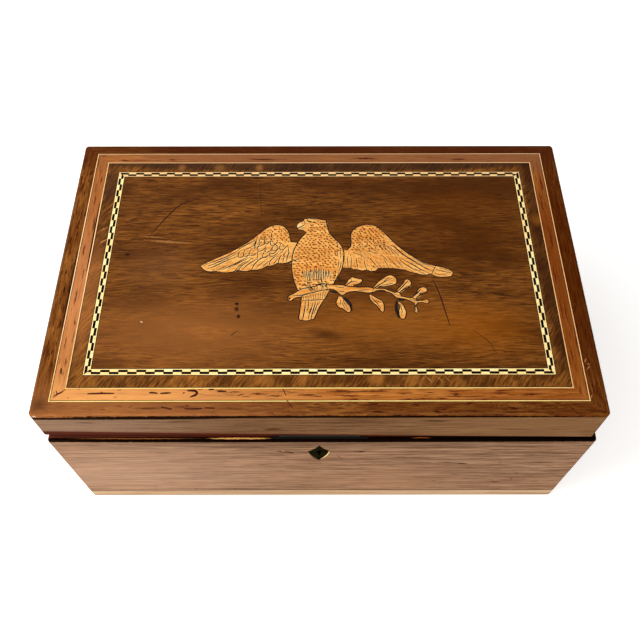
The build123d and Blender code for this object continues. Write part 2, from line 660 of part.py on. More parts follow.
def field_veneer(inlays):
    field = inlay_solid(Rectangle(2 * FIELD_EDGE[0], 2 * FIELD_EDGE[1]))
    for inlay in inlays:
        field -= inlay
    return field


# Assembly

def build_body():
    """Every node of the carcase, of the lock in it and of the hinge halves on it."""
    outside = rounded_block(BODY_WIDTH, BODY_DEPTH, BOTTOM_THICK, RIM_HEIGHT)
    outside = chamfer(outside.faces().sort_by(Axis.Z)[-1].edges(), SMALL_ARRIS)
    outside -= stop_groove(-1)
    walls = dovetailed_frame(outside, 0, BODY_WIDTH, FRONT_Y, (BOTTOM_THICK, RIM_HEIGHT), BODY_TAILS)
    nails = [Pos(x, y, 0) * bottom_nail() for x, y in nail_places()]
    bottom = bottom_board()
    for x, y in nail_places():
        nail_hole = Pos(x, y, 0) * bottom_nail(-1)
        bottom -= nail_hole
        walls = [wall - nail_hole for wall in walls]
    front, back, left, right = walls
    lock_screw = screw(SHORT_SCREW)
    front = front - selvage() - back_plate() - case_outside()
    front -= keyhole((FRONT_Y - 1, CASE_FRONT_Y + 1))
    front -= kite((FRONT_Y - 1, FRONT_Y + KITE_SINK + KITE_THICK))
    plate = lock_plate() - drill_pin()
    screws = []
    for x, z in lock_screw_places():
        placed = place_lock_screw(lock_screw, x, z)
        front -= placed
        plate -= placed
        screws.append(placed)
    nodes = {
        "body_front": front,
        "body_left": left,
        "body_right": right,
        "bottom_board": bottom,
        "bottom_nails": nails,
        "escutcheon": kite((FRONT_Y + KITE_SINK, FRONT_Y + KITE_SINK + KITE_THICK))
        - keyhole((FRONT_Y, CASE_FRONT_Y)),
        "lock_plate": plate,
        "lock_case": lock_case(),
        "drill_pin": drill_pin(),
        "lock_screws": screws,
        "lock_bolt": lock_bolt(),
        "bolt_spring": bolt_spring(),
    }
    hinge_screws = []
    for name, x_middle in (("left", -HINGE_X), ("right", HINGE_X)):
        back -= hinge_mortise(x_middle, -1)
        leaf = hinge_leaf(x_middle, "body")
        for x, y in hinge_screw_places(x_middle):
            placed = Pos(x, y, RIM_HEIGHT - GLUE_GAP) * screw(LONG_SCREW)
            back -= placed
            leaf -= placed
            hinge_screws.append(placed)
        nodes["hinge_body_leaf_" + name] = leaf
        nodes["hinge_pin_" + name] = cylinder_along_x(
            PIN_RADIUS, span(x_middle, LEAF_LENGTH), AXIS_Y, RIM_HEIGHT)
    nodes["hinge_body_screws"] = hinge_screws
    nodes["body_back"] = back
    return nodes


def build_lid():
    """Every node of the lid, of the link plate under it and of the hinge halves on it."""
    outside = lid_outside()
    rails = dovetailed_frame(
        outside - stop_groove(1), LID_SHIFT, LID_WIDTH, LID_FRONT_Y, (RIM_HEIGHT, RAIL_TOP), LID_TAILS)
    panel = lid_panel()
    front, back, left, right = [rail - panel for rail in rails]
    link = link_plate()
    front = front - worn_bevel() - block(
        span(KEY_X, LINK_PLATE_WIDTH), span(LOOP_Y, LINK_PLATE_DEPTH),
        (RIM_HEIGHT, RIM_HEIGHT + LINK_PLATE_THICK))
    link_screws = []
    for x in (KEY_X - 24, KEY_X + 24):
        placed = Pos(x, LOOP_Y, RIM_HEIGHT) * Rot(180, 0, 0) * screw(LONG_SCREW)
        front -= placed
        link -= placed
        link_screws.append(placed)
    inlays = eagle_pieces()
    flat_inlays = []
    for value in inlays.values():
        flat_inlays += value if isinstance(value, list) else [value]
    nodes = {
        "lid_front": front,
        "lid_back": back,
        "lid_left": left,
        "lid_right": right,
        "lid_panel": panel,
        "link_plate": link,
        "link_plate_screws": link_screws,
        "outer_string": ring(BORDER_EDGE, LIGHT_EDGE),
        "inner_string": ring(INNER_STRING_EDGE, CROSS_EDGE),
        "chequer_lines": ring(CHEQUER_EDGE, BLOCK_EDGE) + ring(BLOCK_INNER_EDGE, FIELD_EDGE),
        "chequer_dark_blocks": chequer_blocks(True),
        "chequer_light_blocks": chequer_blocks(False),
        "field_veneer": field_veneer(flat_inlays),
    }
    nodes.update(inlays)
    for side in SIDES:
        nodes["border_band_" + side] = border_band(side, outside)
        nodes["light_band_" + side] = inlay_solid(mitred_strip(side, LIGHT_EDGE, INNER_STRING_EDGE))
        nodes["crossband_" + side] = inlay_solid(mitred_strip(side, CROSS_EDGE, CHEQUER_EDGE))
    for name, value in nodes.items():
        nodes[name] = [stand_open(piece) for piece in value] if isinstance(value, list) else stand_open(value)
    hinge_screws = []
    for name, x_middle in (("left", -HINGE_X), ("right", HINGE_X)):
        nodes["lid_back"] -= hinge_mortise(x_middle, 1)
        leaf = hinge_leaf(x_middle, "lid")
        for x, y in hinge_screw_places(x_middle):
            placed = Pos(x, y, RIM_HEIGHT + GLUE_GAP) * Rot(180, 0, 0) * screw(LONG_SCREW)
            nodes["lid_back"] -= placed
            leaf -= placed
            hinge_screws.append(placed)
        nodes["hinge_lid_leaf_" + name] = leaf
    nodes["hinge_lid_screws"] = hinge_screws
    return nodes


def solids_of(value):
    pieces = value if isinstance(value, list) else [value]
    return [solid for piece in pieces for solid in piece.solids()]


os.makedirs("parts", exist_ok=True)
for node, value in {**build_body(), **build_lid()}.items():
    solids = solids_of(value)
    shape = solids[0] if len(solids) == 1 else Compound(children=solids)
    shape.label = node
    export_step(shape, f"parts/{node}.step")
    print(node, len(solids))
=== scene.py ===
# %% [markdown]
# # Dressing a document box
# The box is old cabinet work: a plain carcase faded by daylight, and a lid whose top carries bands of
# inlay round a field with an eagle over a branch. The solids of every board, band, block and screw come
# ready made as the frame. This file gives them a camera, light and finishes, and adds what a solid
# model leaves out: engraved lines, glue lines, scratches, round screw heads and worn edges.

# %% Load the frame
import bpy
import bmesh
import json
import math
import random
from mathutils import Matrix, Vector

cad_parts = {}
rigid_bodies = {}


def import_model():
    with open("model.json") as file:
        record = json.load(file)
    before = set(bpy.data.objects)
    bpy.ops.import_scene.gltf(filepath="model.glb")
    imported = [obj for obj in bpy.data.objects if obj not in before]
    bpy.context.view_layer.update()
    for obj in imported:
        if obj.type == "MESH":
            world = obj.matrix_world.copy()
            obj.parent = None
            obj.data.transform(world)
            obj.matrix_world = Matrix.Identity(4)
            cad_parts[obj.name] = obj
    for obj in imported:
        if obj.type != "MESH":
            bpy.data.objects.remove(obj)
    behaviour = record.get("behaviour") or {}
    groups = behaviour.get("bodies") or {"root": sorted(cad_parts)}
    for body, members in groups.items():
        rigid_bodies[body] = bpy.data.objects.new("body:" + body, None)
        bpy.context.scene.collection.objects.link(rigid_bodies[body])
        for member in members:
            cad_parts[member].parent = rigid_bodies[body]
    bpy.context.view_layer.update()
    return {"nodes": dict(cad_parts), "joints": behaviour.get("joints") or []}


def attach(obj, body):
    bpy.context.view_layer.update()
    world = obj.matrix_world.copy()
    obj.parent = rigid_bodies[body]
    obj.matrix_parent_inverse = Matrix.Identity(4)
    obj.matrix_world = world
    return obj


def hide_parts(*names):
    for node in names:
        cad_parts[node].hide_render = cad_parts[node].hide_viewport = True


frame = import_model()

# %% [markdown]
# ## The camera
# A picture taken from above makes upright edges lean together towards the foot. The camera stands where
# the lean, the lid's outline and the front's height all agree: about 0.7 m up, looking steeply down.
# It is aimed with a matrix instead of three angles, because the small roll is easier to say that way.

# %% Make the camera
PICTURE = 640
FOCAL_PIXELS = 749.6
SENSOR = 36
LOOKING_DOWN = math.radians(59.78)
LOOKING_RIGHT = math.radians(0.15)
ROLL = math.radians(0.05)
STANDS_AT = Vector((-0.0023, -0.3317, 0.6602))

forward = Vector((math.sin(LOOKING_RIGHT) * math.cos(LOOKING_DOWN),
                  math.cos(LOOKING_RIGHT) * math.cos(LOOKING_DOWN),
                  -math.sin(LOOKING_DOWN)))
level_right = Vector((math.cos(LOOKING_RIGHT), -math.sin(LOOKING_RIGHT), 0))
level_up = level_right.cross(forward)
right = level_right * math.cos(ROLL) + level_up * math.sin(ROLL)
up = level_up * math.cos(ROLL) - level_right * math.sin(ROLL)

camera_data = bpy.data.cameras.new("camera")
camera_data.sensor_width = SENSOR
camera_data.lens = FOCAL_PIXELS / PICTURE * SENSOR
camera = bpy.data.objects.new("camera", camera_data)
camera.matrix_world = Matrix.Translation(STANDS_AT) @ Matrix((right, up, -forward)).transposed().to_4x4()
bpy.context.scene.collection.objects.link(camera)
bpy.context.scene.camera = camera
print("lens", round(camera_data.lens, 2), "mm")

# %% [markdown]
# ## Light and floor
# The picture has hardly a shadow: a white room lights the box from all round, a little more from the
# left. A sky that is white except overhead behind the box does that, because the polished lid mirrors
# just that part of it towards the camera, and a white mirror image would wash out the dark veneers.
# Sky, finishes and, later on, shapes are all made of nodes, so the first cell makes nodes easy to write.

# %% Helpers that add a node and fill its sockets
def put(tree, kind, inputs=None, **settings):
    node = tree.nodes.new(kind)
    for name, value in settings.items():
        setattr(node, name, value)
    for name, value in (inputs or {}).items():
        socket = node.inputs[name]
        if isinstance(value, bpy.types.NodeSocket):
            tree.links.new(value, socket)
        else:
            socket.default_value = value
    return node


def numbers(tree, operation, first, second=0.0):
    return put(tree, "ShaderNodeMath", {0: first, 1: second}, operation=operation).outputs[0]


def vectors(tree, operation, first, second):
    return put(tree, "ShaderNodeVectorMath", {0: first, 1: second}, operation=operation).outputs[0]


def scaled(tree, vector, times):
    return put(tree, "ShaderNodeVectorMath", {0: vector, "Scale": times}, operation="SCALE").outputs[0]


def measured(tree, operation, first, second=(0, 0, 0)):
    """One number from vectors: a length, or a dot product."""
    return put(tree, "ShaderNodeVectorMath", {0: first, 1: second}, operation=operation).outputs["Value"]


def three(tree, x=0.0, y=0.0, z=0.0):
    return put(tree, "ShaderNodeCombineXYZ", {"X": x, "Y": y, "Z": z}).outputs[0]


def reach(tree, value, low, high, to_low=0.0, to_high=1.0, smooth=True):
    """Stretches the values from low to high so that they run from to_low to to_high."""
    node = put(tree, "ShaderNodeMapRange", {"Value": value, "From Min": low, "From Max": high,
                                            "To Min": to_low, "To Max": to_high},
               interpolation_type="SMOOTHSTEP" if smooth else "LINEAR")
    return node.outputs[0]


def layer(tree, mask, below, above):
    return put(tree, "ShaderNodeMix", {0: mask, 6: below, 7: above}, data_type="RGBA").outputs[2]


def tone(red, green, blue):
    """A colour as a screen shows it, 0 to 255, turned into the linear colour that a shader wants."""
    channels = [v / 255 for v in (red, green, blue)]
    return tuple(v / 12.92 if v <= 0.04045 else ((v + 0.055) / 1.055) ** 2.4 for v in channels) + (1.0,)


print("middle grey on a screen is", round(tone(128, 128, 128)[0], 3), "to a shader")

# %% The sky
SKY_STRENGTH, PATCH_STRENGTH = 1.25, 0.08
DARK_PATCH = Vector((0.24, 0.45, 0.86))
PATCH_RIM, PATCH_HEART = 0.62, 0.9

world = bpy.data.worlds.new("white room")
bpy.context.scene.world = world
world.use_nodes = True
sky = world.node_tree
sky.nodes.clear()
direction = put(sky, "ShaderNodeTexCoord").outputs["Generated"]
towards_patch = measured(sky, "DOT_PRODUCT", direction, DARK_PATCH)
strength = reach(sky, towards_patch, PATCH_RIM, PATCH_HEART, SKY_STRENGTH, PATCH_STRENGTH)
white = put(sky, "ShaderNodeBackground", {"Color": (1.0, 0.992, 0.975, 1.0), "Strength": strength})
put(sky, "ShaderNodeOutputWorld", {"Surface": white.outputs[0]})
print("sky of", len(sky.nodes), "nodes")

# %% Wide soft lights on the left and in front
LIT_PLACE = Vector((0, 0, 0.1))
DAYLIGHT = (1.0, 0.96, 0.9)


def soft_light(name, stands, size, watts):
    data = bpy.data.lights.new(name, "AREA")
    data.shape = "SQUARE"
    data.size = size
    data.energy = watts
    data.color = DAYLIGHT
    lamp = bpy.data.objects.new(name, data)
    aim = (LIT_PLACE - Vector(stands)).to_track_quat("-Z", "Y").to_matrix().to_4x4()
    lamp.matrix_world = Matrix.Translation(stands) @ aim
    bpy.context.scene.collection.objects.link(lamp)
    print(name, "gives", watts, "watts")


soft_light("window_left", (-0.95, -0.25, 0.8), 0.8, 11)
soft_light("window_front", (-0.5, -1.2, 0.8), 1.0, 2)

# %% The floor
FLOOR_HALF, JUST_BELOW = 6.0, -0.0002
FLOOR_PAINT = {"Base Color": (0.94, 0.94, 0.94, 1), "Emission Color": (1, 1, 1, 1), "Emission Strength": 0.34,
               "Roughness": 0.9, "Specular IOR Level": 0.1}
floor_corners = [(x * FLOOR_HALF, y * FLOOR_HALF, 0) for x, y in ((-1, -1), (1, -1), (1, 1), (-1, 1))]
floor_mesh = bpy.data.meshes.new("floor")
floor_mesh.from_pydata(floor_corners, [], [(0, 1, 2, 3)])
floor = bpy.data.objects.new("floor", floor_mesh)
floor.location.z = JUST_BELOW
bpy.context.scene.collection.objects.link(floor)
floor_paint = bpy.data.materials.new("floor_paint")
floor_paint.use_nodes = True
for label, value in FLOOR_PAINT.items():
    floor_paint.node_tree.nodes["Principled BSDF"].inputs[label].default_value = value
floor_mesh.materials.append(floor_paint)
bpy.context.scene.view_settings.view_transform = "Standard"
print("floor", 2 * FLOOR_HALF, "m wide")

# %% [markdown]
# ## What wood looks like
# Wood is a bundle of fibres. Seen along a board it shows broad streaks from the yearly rings, fine
# fibres, and short dark pores; seen on the end it shows the same things as rings and dots. A pattern that
# fills space does all of this at once, so it is laid on coordinates inside the board, in millimetres,
# stretched along the grain. One node group makes it, and each finish sets its own streaks and pores.

# %% Helpers for a node group and for noise
VALUE, VECTOR = "NodeSocketFloat", "NodeSocketVector"


def new_group(name, inputs, outputs):
    tree = bpy.data.node_groups.new(name, "ShaderNodeTree")
    for label, kind, start in inputs:
        socket = tree.interface.new_socket(name=label, in_out="INPUT", socket_type=kind)
        if start is not None:
            socket.default_value = start
    for label, kind in outputs:
        tree.interface.new_socket(name=label, in_out="OUTPUT", socket_type=kind)
    print(name, "takes", [label for label, _, _ in inputs], "and gives", [label for label, _ in outputs])
    return tree, put(tree, "NodeGroupInput").outputs, put(tree, "NodeGroupOutput").inputs


def noise(tree, place, scale, detail=3.0, roughness=0.55, output="Fac"):
    return put(tree, "ShaderNodeTexNoise", {"Vector": place, "Scale": scale, "Detail": detail,
                                            "Roughness": roughness}).outputs[output]


def wandering(tree, place, read_at, amount, scale, detail, roughness=0.55):
    """The place pushed about by a noise, to either side alike."""
    push = noise(tree, read_at, scale, detail, roughness, "Color")
    push = vectors(tree, "SUBTRACT", push, (0.5, 0.5, 0.5))
    return vectors(tree, "ADD", place, scaled(tree, push, amount))


# %% The wood figure group
DRIFT_ACROSS = 14.0
figure_tree, given, result = new_group("wood figure", [
    ("Place", VECTOR, None), ("Stretch", VALUE, 14.0), ("Fineness", VALUE, 0.3), ("Waviness", VALUE, 3.0),
    ("Sweep", VALUE, 60.0)], [("Streaks", VALUE), ("Fibres", VALUE), ("Pores", VALUE), ("Cloud", VALUE)])
sweep = three(figure_tree, given["Sweep"], DRIFT_ACROSS, DRIFT_ACROSS)
bent = wandering(figure_tree, given["Place"], vectors(figure_tree, "DIVIDE", given["Place"], sweep),
                 given["Waviness"], 1.0, 2.0)


def drawn_out(times):
    """The bent place, squeezed along the grain so that a pattern on it comes out long."""
    long = numbers(figure_tree, "MULTIPLY", given["Stretch"], times)
    return vectors(figure_tree, "DIVIDE", bent, three(figure_tree, long, 1.0, 1.0))


for label, times, scale, detail, roughness, low, high, smooth in (
        ("Streaks", 1.0, given["Fineness"], 6.0, 0.62, 0.32, 0.68, True),
        ("Fibres", 1.6, 1.9, 3.0, 0.6, 0.3, 0.7, False),
        ("Pores", 0.7, 0.85, 2.0, 0.55, 0.58, 0.65, True),
        ("Cloud", 0.22, 0.045, 4.0, 0.6, 0.32, 0.68, True)):
    pattern = noise(figure_tree, drawn_out(times), scale, detail, roughness)
    figure_tree.links.new(reach(figure_tree, pattern, low, high, smooth=smooth), result[label])
print("wood figure group:", len(figure_tree.nodes), "nodes")

# %% [markdown]
# ## Marks of use
# Knots, stains, dents and rubbed patches are mostly long soft ovals with a ragged rim, and worn or dirty
# edges are soft lines at a known place; painted light and shade are very large, very soft ovals. Two more
# groups make those masks, and every finish shares them.

# %% The soft mark and edge line groups
def fade_out(tree, away, given, result):
    """Full at the heart of a mark, and nothing where the distance comes to 1."""
    inner = numbers(tree, "SUBTRACT", 1.0, given["Softness"])
    mask = reach(tree, away, inner, 1.0, 1.0, 0.0)
    tree.links.new(numbers(tree, "MULTIPLY", mask, given["Strength"]), result["Mask"])


mark_tree, given, result = new_group("soft mark", [
    ("Place", VECTOR, None), ("Centre", VECTOR, (0, 0, 0)), ("Half size", VECTOR, (1, 1, 1)),
    ("Turn", VECTOR, (0, 0, 0)), ("Softness", VALUE, 0.5), ("Strength", VALUE, 1.0)], [("Mask", VALUE)])
local = vectors(mark_tree, "SUBTRACT", given["Place"], given["Centre"])
local = put(mark_tree, "ShaderNodeVectorRotate", {"Vector": local, "Rotation": given["Turn"]},
            rotation_type="EULER_XYZ", invert=True).outputs[0]
local = vectors(mark_tree, "DIVIDE", local, given["Half size"])
fade_out(mark_tree, measured(mark_tree, "LENGTH", local), given, result)

edge_tree, given, result = new_group("edge line", [
    ("Place", VECTOR, None), ("Across", VECTOR, (0, 0, 1)), ("At", VALUE, 0.0), ("Half width", VALUE, 1.0),
    ("Softness", VALUE, 0.6), ("Strength", VALUE, 1.0)], [("Mask", VALUE)])
along = measured(edge_tree, "DOT_PRODUCT", given["Place"], given["Across"])
off = numbers(edge_tree, "ABSOLUTE", numbers(edge_tree, "SUBTRACT", along, given["At"]))
fade_out(edge_tree, numbers(edge_tree, "DIVIDE", off, given["Half width"]), given, result)

# %% How a mark is written down
TOP, CASE_FACE, RAIL_FACE = 172, -129, -127


def oval(centre, half, colour, strength=0.8, turn=(0, 0, 0), softness=0.7):
    return ("soft mark", {"Centre": centre, "Half size": half, "Turn": tuple(math.radians(v) for v in turn),
                          "Softness": softness, "Strength": strength}, colour)


def line(across, at, half, colour, strength=0.8, softness=0.6):
    return ("edge line", {"Across": across, "At": at, "Half width": half, "Softness": softness,
                          "Strength": strength}, colour)


def top_mark(x, y, half_x, half_y, colour, strength=0.8, turn=0, softness=0.7, depth=20):
    """An oval on the lid's top, from the top's middle, which is 2 mm left of the carcase's."""
    return oval((x - 2.0, y + 1.65, TOP), (half_x, half_y, depth), colour, strength, (0, 0, turn), softness)


def front_mark(x, z, half_x, half_z, colour, strength=0.8, tilt=0, softness=0.7, depth=30, face=CASE_FACE):
    """An oval on an upright front face, from the carcase's middle and the floor."""
    return oval((x, face, z), (half_x, depth, half_z), colour, strength, (0, tilt, 0), softness)


print("a mark on the top:", top_mark(0, 0, 1, 1, tone(0, 0, 0))[1]["Centre"])

# %% [markdown]
# ## A board's finish
# The same recipe serves every wood: a dark and a light tone mixed by the streaks, fibres over them,
# dark pores, a slow change of tone over the whole board, and then the marks that this one board
# carries. Bump comes from the fibres and pores, and roughness from the fibres and the slow change.

# %% A new finish, and marks on it
PER_METRE = 1000.0


def new_finish(name):
    """A material, its tree and shader, and the place on the box in millimetres."""
    material = bpy.data.materials.new(name)
    material.use_nodes = True
    tree = material.node_tree
    at = put(tree, "ShaderNodeTexCoord").outputs["Object"]
    return material, tree, tree.nodes["Principled BSDF"], scaled(tree, at, PER_METRE)


def put_group(tree, name, inputs):
    """Adds a group, which has its sockets only once its own tree is set."""
    return put(tree, "ShaderNodeGroup", inputs, node_tree=bpy.data.node_groups[name]).outputs


def marked(tree, colour, place, marks, ragged):
    """Lays the marks over the colour, one after the other, with rims as ragged as asked."""
    shaken = wandering(tree, place, place, ragged, 0.35, 3.0, 0.6)
    for group, values, mark_tone in marks:
        mask = put_group(tree, group, {"Place": shaken, **values})["Mask"]
        colour = layer(tree, mask, colour, mark_tone)
    return colour


def relief(tree, shader, height, strength, distance):
    bump = put(tree, "ShaderNodeBump", {"Height": height, "Strength": strength, "Distance": distance})
    tree.links.new(bump.outputs["Normal"], shader.inputs["Normal"])


# %% The recipe for a wood
ALONG_X = (0, 0, 0)
ALONG_Y = (0, 0, math.radians(90))
WOOD_RELIEF, WOOD_DEPTH = 0.25, 0.0002


def wood(name, dark, light, grain=ALONG_X, stretch=14.0, fineness=0.3, waviness=3.0, sweep=60.0, pores=0.5,
         pore_tone=tone(40, 18, 8), fibres=0.25, cloud=0.25, cloud_tone=tone(60, 30, 12), shift=(0, 0, 0),
         gloss=(0.36, 0.52), specular=0.06, marks=(), ragged=2.5):
    material, tree, shader, place = new_finish(name)
    turned = put(tree, "ShaderNodeMapping", {"Vector": place, "Rotation": grain, "Location": shift})
    seen = put_group(tree, "wood figure", {"Place": turned.outputs[0], "Stretch": stretch,
                                           "Fineness": fineness, "Waviness": waviness, "Sweep": sweep})
    colour = layer(tree, seen["Streaks"], dark, light)
    colour = layer(tree, numbers(tree, "MULTIPLY", seen["Cloud"], cloud), colour, cloud_tone)
    between = numbers(tree, "SUBTRACT", 1.0, seen["Fibres"])
    colour = layer(tree, numbers(tree, "MULTIPLY", between, fibres), colour, pore_tone)
    colour = layer(tree, numbers(tree, "MULTIPLY", seen["Pores"], pores), colour, pore_tone)
    if marks:
        colour = marked(tree, colour, place, marks, ragged)
    tree.links.new(colour, shader.inputs["Base Color"])
    sheen = numbers(tree, "ADD", numbers(tree, "MULTIPLY", seen["Cloud"], 0.5),
                    numbers(tree, "MULTIPLY", seen["Fibres"], 0.5))
    tree.links.new(reach(tree, sheen, 0.0, 1.0, gloss[1], gloss[0], smooth=False), shader.inputs["Roughness"])
    height = numbers(tree, "SUBTRACT", seen["Fibres"], numbers(tree, "MULTIPLY", seen["Pores"], 1.5))
    relief(tree, shader, height, WOOD_RELIEF, WOOD_DEPTH)
    shader.inputs["Specular IOR Level"].default_value = specular
    return material


DRESSED = set()


def dress(material, *nodes):
    for node in nodes:
        for slot in frame["nodes"][node].material_slots:
            slot.material = material
        DRESSED.add(node)
    print(material.name, "on", ", ".join(nodes))


# %% [markdown]
# ## The top's veneers
# The field is one sheet of walnut. Its upper half is straight and dark, its lower half lighter and
# swirled, and painted light makes it paler at the left and front. Round it run a chequer, a walnut
# crossband, a light band between two strings, and a dark border. Each veneer is the recipe with its own
# tones and its own marks: painted light and shade are only very large, very soft marks.

# %% Field veneer
SOOT = tone(18, 8, 4)
# Painted light at the front and left and painted shade at the right and back, as very large soft ovals; the
# last, small one is a dark patch near the front.
FIELD_LIGHT_AND_SHADE = (
    top_mark(-95, -60, 130, 48, tone(168, 104, 50), 0.5, softness=1.0),
    top_mark(50, -52, 110, 36, tone(162, 94, 30), 0.45, softness=1.0),
    top_mark(120, 40, 110, 70, tone(70, 32, 0), 0.5, softness=1.0),
    top_mark(30, 78, 190, 22, tone(66, 32, 6), 0.4, softness=1.0),
    top_mark(122, -58, 60, 36, tone(150, 80, 4), 0.45, softness=1.0),
    top_mark(-124, -2, 44, 34, tone(150, 98, 56), 0.22, softness=1.0),
    top_mark(112, 62, 60, 26, tone(96, 46, 0), 0.35, softness=1.0),
    top_mark(5, -63, 17, 6.4, tone(48, 20, 5), 0.7, -9, 1.0))
FIELD_KNOTS = (
    top_mark(-62.7, -36.2, 1.9, 1.8, SOOT, 0.95, softness=0.5),
    top_mark(-62.6, -41.0, 2.2, 3.0, tone(44, 28, 18), 0.9, softness=0.6),
    top_mark(-61.0, -47.4, 1.6, 2.4, SOOT, 0.9, softness=0.6),
    top_mark(-63.4, -61.7, 5.4, 0.5, SOOT, 0.8, 41),
    top_mark(111, -23.3, 8.0, 0.7, tone(30, 13, 5), 0.8),
    top_mark(138, -27.6, 21, 1.0, tone(34, 15, 5), 0.7, -10),
    top_mark(-151.8, 9.9, 2.2, 2.0, tone(34, 16, 8), 0.9, softness=0.6))
FIELD_RUBBED = (
    top_mark(-120, 22.6, 24, 1.6, tone(170, 112, 60), 0.6, -5),
    top_mark(-134, 27.5, 14, 1.0, tone(166, 108, 58), 0.5, -6),
    top_mark(-133, -52, 1.4, 0.8, tone(215, 180, 150), 0.9, -40))
field = wood("field_walnut", tone(80, 42, 9), tone(152, 92, 34), stretch=16, fineness=1.0, waviness=8,
             pores=0.7, pore_tone=tone(40, 16, 3), fibres=0.45, cloud=0.9, cloud_tone=tone(76, 39, 8),
             shift=(0, 310, 0), marks=FIELD_LIGHT_AND_SHADE + FIELD_KNOTS + FIELD_RUBBED)
dress(field, "field_veneer")

# %% Crossbands: dark walnut cut across the band, with painted light, shade and a painted sheen on the figure
# Painted shade along the back and down the right, painted light on the left; a lighter patch at the right and
# a darker one at the back left.
CROSS_LIGHT_AND_SHADE = (
    oval((0, 109, TOP), (230, 12, 30), tone(40, 24, 16), 0.72, softness=0.3),
    oval((180, 20, TOP), (14, 150, 30), tone(44, 18, 5), 0.7, softness=0.35),
    oval((177, 46, TOP), (9, 9, 30), tone(140, 82, 22), 0.55, softness=0.9),
    oval((-178, -30, TOP), (10, 70, 30), tone(160, 98, 50), 0.4, softness=0.6),
    oval((-176, 84, TOP), (10, 26, 30), tone(52, 28, 16), 0.7, softness=0.6))
# Painted sheen of the figure: light patches along the back and light diagonal streaks on the left.
CROSS_BACK_SHEEN = (
    top_mark(-117, 101.2, 5, 6, tone(140, 86, 46), 0.75, softness=0.9),
    top_mark(-85, 101.2, 7, 6, tone(130, 84, 42), 0.7, softness=0.9),
    top_mark(-51, 101.2, 5, 6, tone(146, 94, 46), 0.75, softness=0.9),
    top_mark(-172, 24, 6, 0.7, tone(206, 138, 84), 0.8, 36),
    top_mark(-174, 36, 5, 0.7, tone(196, 128, 74), 0.7, 40))
# Painted sheen along the front: patches of the figure alternately lit and in painted shade.
SATIN_SHADE, SATIN_SHEEN = (tone(72, 38, 8), 0.7), (tone(168, 106, 44), 0.4)
CROSS_PAINTED_SHEEN = tuple(top_mark(x, -100, half, 7, *sheen_tone) for x, half, sheen_tone in (
    (-67, 9, SATIN_SHADE), (-40, 10, SATIN_SHEEN), (-24, 9, SATIN_SHADE), (-12, 5, SATIN_SHEEN),
    (16, 17, SATIN_SHADE), (40, 8, SATIN_SHEEN), (53, 9, SATIN_SHADE), (67, 8, SATIN_SHEEN)))
# Painted sheen at the front right: two patches in painted shade and three light diagonal streaks.
CROSS_FRONT_SHEEN = (
    top_mark(105, -99, 6, 5, tone(44, 20, 4), 0.7, softness=0.9),
    top_mark(141, -99, 5, 5, tone(48, 22, 4), 0.65, softness=0.9),
    top_mark(78, -100, 5, 0.5, tone(190, 128, 66), 0.7, -52),
    top_mark(92, -100, 6, 0.4, tone(180, 118, 56), 0.6, -48),
    top_mark(86, -100, 5, 0.4, tone(190, 126, 62), 0.6, -48))
crossband = wood("crossband_walnut", tone(78, 40, 9), tone(172, 108, 42), grain=(0, 0, math.radians(-58)),
                 stretch=8, fineness=0.8, waviness=3, sweep=16, pores=0.25, pore_tone=tone(46, 18, 3),
                 fibres=0.4, cloud=0.7, cloud_tone=tone(60, 28, 6),
                 marks=CROSS_LIGHT_AND_SHADE + CROSS_BACK_SHEEN + CROSS_PAINTED_SHEEN + CROSS_FRONT_SHEEN)
dress(crossband, "crossband_front", "crossband_back", "crossband_left", "crossband_right")

# %% Light bands: golden wood, long dark pores, painted light at the left and front, painted shade at the right and back
def light_band(name, grain, marks):
    return wood(name, tone(164, 92, 32), tone(214, 140, 66), grain=grain, stretch=18, fineness=0.5,
                waviness=1.5, pores=1.0, pore_tone=tone(80, 26, 8), fibres=0.45, cloud=0.5,
                cloud_tone=tone(140, 74, 24), marks=marks)


# Painted light at the front and left, less of it at the back left, and painted shade at the right and back.
PAINTED_LIGHT_LEFT_FRONT = (oval((-150, -128, TOP), (190, 60, 60), tone(240, 170, 100), 0.7, softness=1.0),
       oval((-190, -20, TOP), (30, 130, 60), tone(206, 138, 88), 0.5, softness=1.0))
LESS_LIGHT_BACK_LEFT = (oval((-190, 66, TOP), (30, 110, 60), tone(148, 88, 44), 0.6, softness=1.0),)
SHADE = (oval((200, 0, TOP), (200, 230, 60), tone(104, 44, 0), 0.85, softness=1.0),
         oval((40, 122, TOP), (320, 40, 60), tone(128, 82, 52), 0.75, softness=0.6))
PORE = tone(70, 20, 6)
LONG_PORES = tuple(top_mark(x, y, half, 1.1, PORE, 0.95, depth=9) for x, y, half in (
    (-60, -110, 6), (-44, -111.6, 8), (-8, -112, 9), (22, -113, 12), (-71, -108.8, 5), (-30, -113.4, 6),
    (40, -109.4, 8), (60, -111, 9), (96, -113.6, 14), (128, -111, 9), (150, -112.4, 12), (-49, 111, 15.5),
    (-126, 110.7, 5), (-166.7, 109.9, 6.3), (40, 112, 14), (120, 111, 9)))
SIDE_PORES = tuple(top_mark(x, y, 0.9, half, PORE, 0.85, depth=9) for x, y, half in (
    (-184, -86, 6), (-187, -70, 9), (-183, -52, 5), (-186, -30, 12), (-184, -8, 7), (-187, 14, 9),
    (-183, 40, 10), (-186, 66, 8), (-184, 88, 6), (184, -80, 10), (186, -44, 16), (183, -10, 12),
    (186, 26, 15), (184, 60, 10), (187, 86, 8)))
MITRE_CRACK = (top_mark(-185.0, -111.6, 7.0, 0.7, PORE, 0.97, 42, depth=9),
               top_mark(-187.6, -111, 0.6, 3.0, PORE, 0.9, 12, depth=9))
dress(light_band("light_band_long", ALONG_X, PAINTED_LIGHT_LEFT_FRONT + SHADE + LONG_PORES + MITRE_CRACK),
      "light_band_front", "light_band_back")
